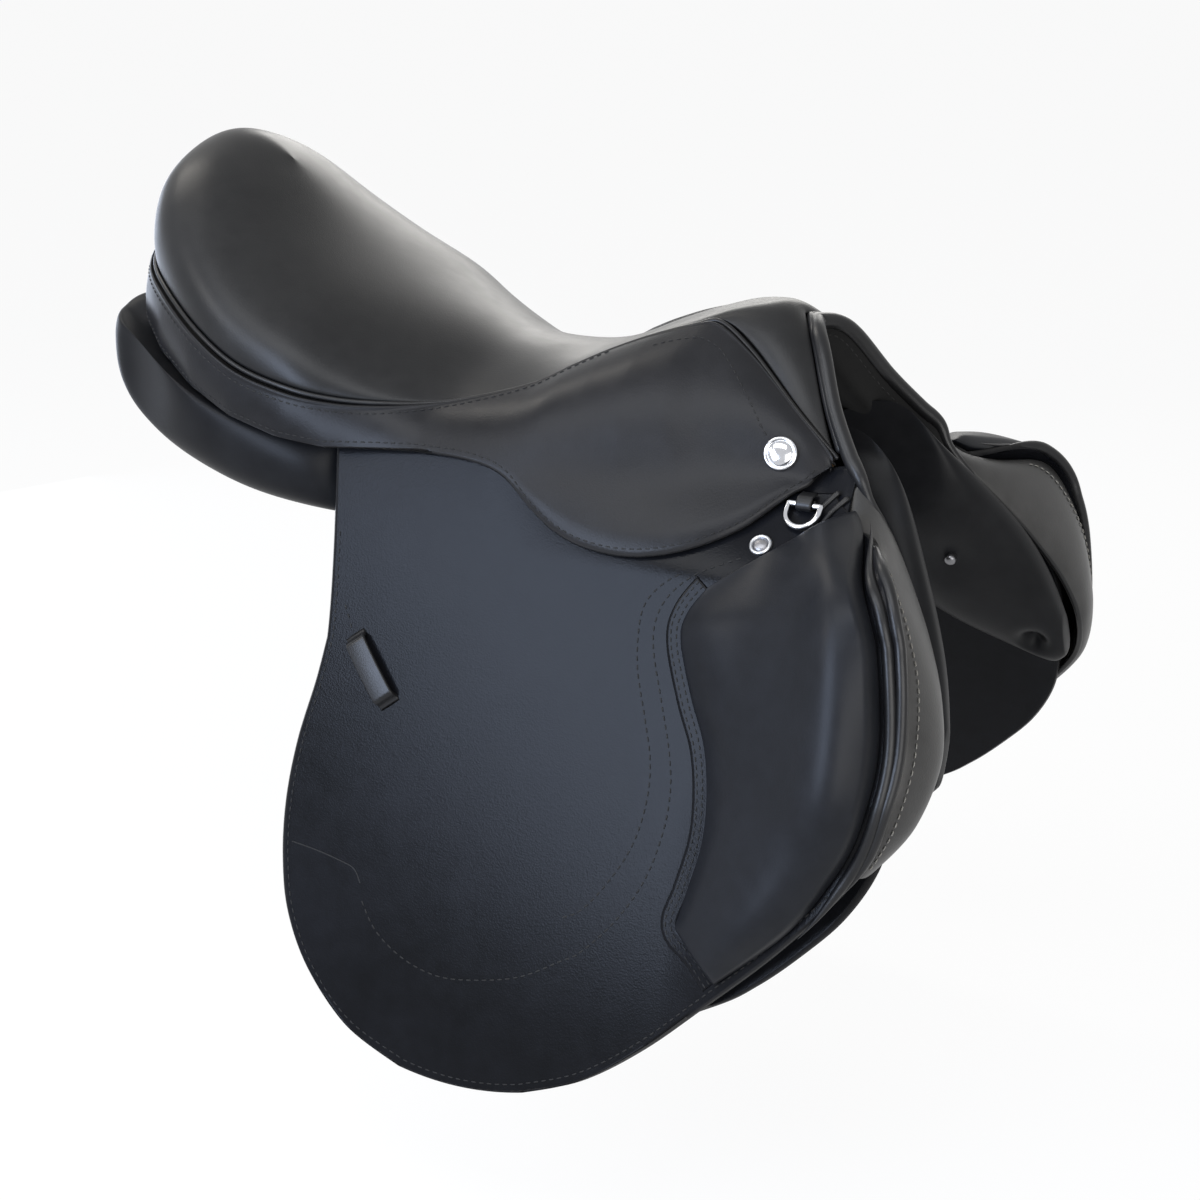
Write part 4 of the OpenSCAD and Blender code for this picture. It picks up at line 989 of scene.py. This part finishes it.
def makePadTrim(name, side):  # flat border behind the pad with two sewn rows, raised edge in front of it
    rear = fineRun(padLook["rear"] + padLook["foot"], 140)
    grid = np.stack([hung(offsetRun(rear, d), 1.0) for d in padLook["border"]], 1)
    border = makePiece("Pad_border_" + name, leatherSheet(grid, 2.0, (0, 1.0, 0.3))[:2], flapFinish, side)
    edge = hung(offsetRun(fineRun(padLook["front"], 200)[8:160], padLook["rimOut"]), 0.3)
    thick = tapered(padLook["rim"], len(edge), 6, 4)
    rim = makePiece("Pad_rim_" + name, tube(edge, thick, 12), trimFinish, side)
    parts = [sewnRow(offsetRun(rear, d), padLook["thread"], 1.0) for d in padLook["rowsAt"]]
    sewn = makePiece("Pad_stitching_" + name, joined(parts), darkThread, side)
    settle("flap_" + name, "flap_leather", border, sewn)
    bendFlap(rim, name, side)


pads = makePad()
for name, side in sides:
    bendFlap(pads[name], name, side)
    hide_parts("knee_pad_" + name)
    makePadTrim(name, side)
print("knee pads made")


# strap keeper and the tab that holds the dee ring
keeperLook = {"at": (-67, -105), "run": (29, 11, -34), "long": 46.0, "wide": 14.0, "gap": 3.4, "thick": 2.4}
deeLook = {"at": (166.5, 3.4), "wire": 3.2, "tab": 9.0}


def makeKeeper(name, side):
    spot = hung(keeperLook["at"], 0.15)
    x, y, z = localFrame(keeperLook["run"], hangNormal(keeperLook["at"]))
    half, h = keeperLook["long"] / 2, keeperLook["gap"] + keeperLook["thick"]
    rise = [(-half - 1, 0.3), (-half + 1.5, 1.0), (-half + 4, h * 0.82), (-half + 8, h)]
    run = fineRun(rise + [(0, h + 0.5)] + [(-a, b) for a, b in rise[::-1]], 64)
    across = np.linspace(-1, 1, 12) * keeperLook["wide"] / 2
    crown = 0.5 * (1 - (across / across.max()) ** 2)
    grid = spot + run[:, None, :1] * x + across[None, :, None] * y + (run[:, None, 1:] + crown[None, :, None]) * z
    piece = makePiece("Strap_keeper_" + name, leatherSheet(grid, keeperLook["thick"], z)[:2], trimFinish, side)
    settle("flap_" + name, "trim_leather", piece)
    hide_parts("keeper_" + name)


def makeDeeTab(name, side):
    spot = hung(deeLook["at"], deeLook["wire"] / 2 + 2.2)
    x, y, z = localFrame((1, 0, 0), hangNormal(deeLook["at"]))
    r = deeLook["wire"] / 2 + 0.45 + 1.5
    turn = [(r * math.sin(a), r * math.cos(a)) for a in np.linspace(0, math.pi, 9)]
    run = fineRun([(-9, -1.2), (-6.5, 1.0), (-3.2, r * 0.96)] + turn + [(-2.6, -r), (-5, -r)], 60)
    across = np.linspace(-1, 1, 9) * deeLook["tab"] / 2
    grid = spot + across[None, :, None] * x + run[:, None, :1] * y + run[:, None, 1:] * z
    out = np.broadcast_to((run[:, None, :1] * y + run[:, None, 1:] * z), grid.shape)
    piece = makePiece("Dee_tab_" + name, leatherSheet(grid, 1.4, out)[:2], trimFinish, side)
    settle("saddle", "trim_leather", piece)
    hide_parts("dee_chape_" + name)


for name, side in sides:
    makeKeeper(name, side)
    makeDeeTab(name, side)
print("keepers and tabs made")


# sweat flap with its padded front roll
sweatLook = {
    "rear": [(-92, -14), (-92, -60), (-96, -130), (-97, -190), (-84, -245), (-50, -280), (5, -298)],
    "front": [(196, -34), (228, -48), (246, -80), (250, -112), (247, -142), (241, -168), (227, -193),
              (207, -215), (184, -236), (159, -253), (95, -285), (35, -299)],
    "thick": 3.4,
    "rollOuter": [(190, 62, 17), (197, 62, 5), (208, 66, -9), (224, 80, -30), (241, 96, -55), (255, 112, -82),
                  (262, 126, -110), (256, 144, -139), (237, 154, -164)],
    "rollInner": [(180, 7), (192, -3), (208, -8), (225, -15), (239, -33), (248, -61), (250, -97), (246, -132),
                  (235, -161)],
    "rollHigh": [2, 3.5, 5, 7, 8, 8.5, 8.5, 7, 3.5], "margins": (0.02, 0.02),
    "pressure": 4.0, "cap": 0.002, "frames": 14, "ease": 4,
    "thread": {"long": 3.2, "step": 4.6, "thick": 0.45, "lift": 0.3},
}


def flatY(x, z, off):
    return 84 + 0.05 * x - 0.333 * z + off * math.sqrt(1 + 0.333 ** 2)


def onSweat(xz, off):
    xz = np.asarray(xz, float)
    return np.stack([xz[..., 0], flatY(xz[..., 0], xz[..., 1], off), xz[..., 1]], -1)


def rollEdges():  # outer edge from the arch roll down, inner edge tucked behind the flap's front
    return np.array(sweatLook["rollOuter"], float), hung(sweatLook["rollInner"], -5.0)


def rollGrid(p, q):
    outer, inner = rollEdges()
    a, b = along(inner, q), along(outer, q)
    n = unit(np.cross(along(outer, np.minimum(1, q + 0.01)) - along(outer, np.maximum(0, q - 0.01)), a - b))
    n = n * np.where(n[..., :1] < 0, -1.0, 1.0)
    high = np.interp(q, np.linspace(0, 1, 9), sweatLook["rollHigh"])
    rise = 0.6 + high * np.sqrt(np.maximum(0, 1 - (2 * p - 1) ** 2))
    base = lerp(a, b, p[..., None])
    return base + n * rise[..., None], base + n * 0.05, n


def makeRoll():
    q, p = np.meshgrid(steps(84), (1 - np.cos(np.linspace(0, math.pi, 22))) / 2, indexing="ij")
    roll = makePiece("Front_roll_left", padBody(*rollGrid(p, q)[:2]), rollSheenFinish)
    puff(roll, heldOf(p, q, sweatLook["margins"]), sweatLook)
    subdivide(roll)
    return {"left": roll, "right": mirrorOf(roll, "Front_roll_right")}


def makeRollTrim(name, side):
    edge = along(sweatLook["rollOuter"], np.linspace(0.04, 0.98, 90)) + (0, 1.2, 0)
    piping = makePiece("Front_piping_" + name, tube(edge, 1.9), trimFinish, side)
    top, base, n = rollGrid(np.full(140, 0.22), np.linspace(0.34, 0.96, 140))
    row = stitchRow(top + n * 0.4, n, sweatLook["thread"])
    sewn = makePiece("Front_roll_stitching_" + name, row, paleThread, side)
    settle("saddle", "trim_leather", piping, sewn)


def makeSweatFlap(name, side):
    q, p = np.meshgrid(steps(120), steps(70), indexing="ij")
    plan = lerp(along(sweatLook["rear"], q), along(sweatLook["front"], q), p[..., None])
    sheet = leatherSheet(onSweat(plan, sweatLook["thick"]), sweatLook["thick"], (0, 1.0, 0.3))
    flat = makePiece("Sweat_flap_" + name, sheet, flapFinish, side)
    settle("saddle", "flap_leather", flat)
    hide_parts("sweat_flap_" + name)


rolls = makeRoll()
for name, side in sides:
    makeSweatFlap(name, side)
    settle("saddle", "flap_leather", rolls[name])
    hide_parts("front_roll_" + name)
    makeRollTrim(name, side)
print("sweat flaps made")


# panel: cushions along the back, deep behind and a broad wing in front
panelLook = {
    "rows": np.array([
        (-297, 56, 50, 8, 8, 0), (-293, 57, 48, 22, 22, 0), (-280, 62, 42, 33, 33, 0), (-256, 68, 33, 41, 37, 2),
        (-225, 73, 22, 45, 39, 4), (-180, 75, 7, 48, 35, 8), (-135, 73, -4, 45, 29, 10), (-105, 68, -9, 40, 26, 14),
        (-80, 64, -9, 38, 25, 18), (-40, 62, -9, 38, 24, 22), (10, 61, -9, 38, 23, 26), (60, 60, -9, 39, 21, 36),
        (110, 56, -13, 42, 17, 48), (145, 55, -26, 48, 16, 56), (170, 57, -40, 54, 16, 60), (195, 65, -55, 57, 16, 61),
        (218, 83, -72, 54, 16, 62), (239, 99, -93, 42, 15, 63), (253, 107, -110, 27, 11, 64),
        (260, 111, -118, 11, 6, 64)], float),
    "rail": [(121.5, 42), (103, 40), (70, 35), (30, 29), (-10, 26), (-60, 26.5), (-110, 31.5), (-160, 42), (-205, 57)],
    "channel": 64.0, "rings": 124, "around": 64, "open": 200.0,
    "wingRise": [(128, 0), (141, 16), (158, 29), (172, 38), (184, 37), (196, 30), (208, 22), (222, 14), (236, 13),
                 (250, 12), (262, 6)],
    "hollows": [((203.6, 50.6, -60.65), (0.09, -0.89, -0.44), 4.4, 13.0),  # place, way out, depth and width
                ((243, 98, -120.5), (0.1, -0.83, -0.55), 11.0, 7.0)],
    "pressure": 3.0, "cap": 0.0025, "frames": 14, "ease": 4,
    "nailShape": [(0, -6), (3.0, -6), (3.4, -1.6), (3.4, 0.2), (2.7, 0.9), (1.5, 1.3), (0, 1.45)], "nailSink": 2.2,
}


def panelRings():
    a = turns(panelLook["around"])
    over, up = (np.sign(k) * np.abs(k) ** 0.78 for k in (np.cos(a), np.sin(a)))  # between an oval and a box
    inward, half, free = np.clip(-np.cos(a), 0, 1), panelLook["channel"] / 2, panelLook["open"]
    railX, railZ = np.transpose(panelLook["rail"][::-1])
    lowX, lowY, lowZ = np.transpose(skirtLook["lowRear"][::-1])
    rings, held = [], []
    for x, y, z, wide, high, tilt in along(panelLook["rows"], steps(panelLook["rings"])):
        cos, sin = math.cos(math.radians(tilt)), math.sin(math.radians(tilt))
        c, d = wide * over, high * up
        y, z = y + c * cos + d * sin, z - c * sin + d * cos
        grow = inward * np.interp(x, *np.transpose(panelLook["wingRise"]))
        y, z = y - grow * cos, z + grow * sin
        roof = free if x > 130 or x < -200 else np.interp(x, railX, railZ) - 8.5 - (2.8 if x > 45 else 0.6)
        edge = np.interp(x, lowX, np.maximum(lowY, 84)) + 8
        band = np.interp(x, lowX, lowZ - 2.5) if x < -112 else free
        roof = np.minimum(roof, band + 13 * smooth((edge - 20 - y) / 14))  # below the band, inside up to the tree
        top = np.minimum(z, roof)
        flat = flatY(x, top, 0) - 1.1
        room = flat if x > -95 else lerp(edge, flat, smooth((x + 140) / 45))
        wall = np.minimum(np.maximum(y, half), room)
        rings.append(np.stack([np.full_like(wall, x), wall, top], 1))
        held.append((z > roof - 1) | (y > room - 1) | (y < half + 1))
    return np.array(rings), np.array(held)


def makePanel():
    rings, held = panelRings()
    for k in range(2):  # ease the hard bends where the roof and the flap press
        rings = lerp(rings, (np.roll(rings, 1, 1) + np.roll(rings, -1, 1)) / 2, 0.25)
    for k in range(8):
        easeRows(rings, 2, -2, 0.5)
    for spot, out, deep, wide in panelLook["hollows"]:
        far = np.linalg.norm(rings - spot, axis=-1, keepdims=True)
        rings = rings - unit(out) * deep * np.exp(-(far / wide) ** 2)
        held |= far[..., 0] < 16
    panel = makePiece("Panel_left", loft(rings), panelFinish)
    held[:2], held[-2:] = True, True
    puff(panel, np.nonzero(held.ravel())[0], panelLook)
    subdivide(panel)
    return {"left": panel, "right": mirrorOf(panel, "Panel_right")}


panels = makePanel()
nailAt, nailOut = panelLook["hollows"][0][:2]
for name, side in sides:
    settle("saddle", "flap_leather", panels[name])
    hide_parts("panel_" + name)
    shape = lathe(panelLook["nailShape"], nailAt - panelLook["nailSink"] * unit(nailOut), nailOut, count=32)
    nail = makePiece("Panel_stud_" + name, shape, nailFinish, side)
    settle("saddle", "bright_metal", nail)
    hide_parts("panel_nail_" + name)
print("panels made")


# solids whose shape is right keep it and get a finish
nodeFinish = {
    "tree_frame": woodFinish, "tree_head": woodFinish, "head_plate": steelFinish, "gullet_plate": steelFinish,
    "spring_": steelFinish, "tree_rivets": steelFinish, "stirrup_bar_": steelFinish, "bar_catch_": steelFinish,
    "seat_webbing": webFinish, "girth_web_": girthFinish, "dee_ring_": chromeFinish, "billet_": trimFinish,
}
for nodeName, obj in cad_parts.items():
    for start, finish in nodeFinish.items():
        if nodeName.startswith(start):
            obj.data.materials.clear()
            obj.data.materials.append(finish)
print("solids dressed")


# studio: pale floor and backdrop, soft lamps, camera at the photograph's place
studioLook = {
    "floor": -0.42, "cameraAt": (0.6533, -1.2823, 0.3957), "azimuth": 27.0, "elevation": 19.0, "lens": 75.0,
    # name, place, aim, way of its long side, size, power and shade
    "lamps": [
        ("Side_lamp", (-0.46, -1.5, 0.42), (-0.46, 0.0, 0.42), (0.637, 0, -0.771), (1.24, 0.70), 36.0,
         (0.64, 0.76, 1.0)),
        ("Front_lamp", (1.15, -0.95, 0.14), (0.15, -0.05, -0.05), (0, 1, 0), (1.0, 0.8), 13.0, (1.0, 0.99, 0.97)),
        ("Top_lamp", (0.05, -0.95, 1.25), (0.05, 0, 0), (1, 0, 0), (1.5, 0.6), 16.0, (0.95, 0.97, 1.0)),
        ("Crest_lamp", (-1.02, 0.19, 1.22), (-0.05, -0.05, 0.05), (0.8, 0.1, 0.6), (0.8, 0.35), 7.0, (1.0, 0.95, 0.87)),
        ("Far_lamp", (-0.5, 1.45, 0.6), (-0.05, 0, 0.05), (1, 0, 0), (1.0, 0.6), 7.5, (1.0, 0.98, 0.94)),
        ("Band_lamp", (-0.93, -0.89, 0.66), (-0.15, -0.12, 0.0), (1, 0, 0), (0.35, 0.35), 3.5, (1.0, 0.97, 0.93)),
        ("Rear_lamp", (-1.4, 0.55, -0.12), (-0.2, -0.05, 0.05), (0, 1, 0), (0.9, 0.7), 5.0, (0.70, 0.80, 1.0)),
    ],
    "sky": (0.92, 0.95, 1.0), "skyLevel": 0.25, "floorWhite": 0.93, "floorHalf": 9000,
}


def makeStudio():
    book, bright = FinishBook("FloorPale"), (1.0, 1.0, 1.0, 1.0)
    plain = book.add("ShaderNodeBsdfDiffuse", None, {"Color": (0.86, 0.86, 0.86, 1.0)})
    white = book.add("ShaderNodeEmission", None, {"Color": bright, "Strength": 1.0})
    fade = book.add("ShaderNodeMixShader", None, {0: book.shown() * studioLook["floorWhite"], 1: plain, 2: white})
    book.add("ShaderNodeOutputMaterial", None, {"Surface": fade})
    w, h = studioLook["floorHalf"], studioLook["floor"] * 1000
    corners = [(-w, -w, h), (w, -w, h), (w, w, h), (-w, w, h)]
    floor = makePiece("Floor", (corners, [(0, 1, 2, 3)]), book.holder)
    sky = FinishBook("Studio", bpy.data.worlds)
    tint, level = (*studioLook["sky"], 1.0), studioLook["skyLevel"]
    dim = sky.add("ShaderNodeBackground", None, {"Color": tint, "Strength": level})
    white = sky.add("ShaderNodeBackground", None, {"Color": bright, "Strength": 1.0})
    both = sky.add("ShaderNodeMixShader", None, {0: sky.shown(), 1: dim, 2: white})
    sky.add("ShaderNodeOutputWorld", None, {"Surface": both})
    scene.world = sky.holder
    for title, at, aim, run, size, power, shade in studioLook["lamps"]:
        lamp = bpy.data.lights.new(title, "AREA")
        lamp.shape, lamp.energy, lamp.color = "RECTANGLE", power, shade
        lamp.size, lamp.size_y = size
        obj = bpy.data.objects.new(title, lamp)
        scene.collection.objects.link(obj)
        z = (Vector(at) - Vector(aim)).normalized()
        x = (Vector(run) - z * z.dot(Vector(run))).normalized()
        obj.matrix_world = Matrix((x, z.cross(x), z)).transposed().to_4x4()
        obj.location = at
        obj.visible_camera = False
    lens = bpy.data.cameras.new("Photo_camera")
    lens.lens, lens.sensor_width = studioLook["lens"], 36.0
    camera = bpy.data.objects.new("Photo_camera", lens)
    scene.collection.objects.link(camera)
    a, e = math.radians(studioLook["azimuth"]), math.radians(studioLook["elevation"])
    back = Vector((math.sin(a) * math.cos(e), -math.cos(a) * math.cos(e), math.sin(e)))
    camera.location = studioLook["cameraAt"]
    camera.rotation_euler = (-back).to_track_quat("-Z", "Y").to_euler()
    scene.camera = camera
    scene.view_settings.view_transform = "Standard"


makeStudio()
print("studio made")
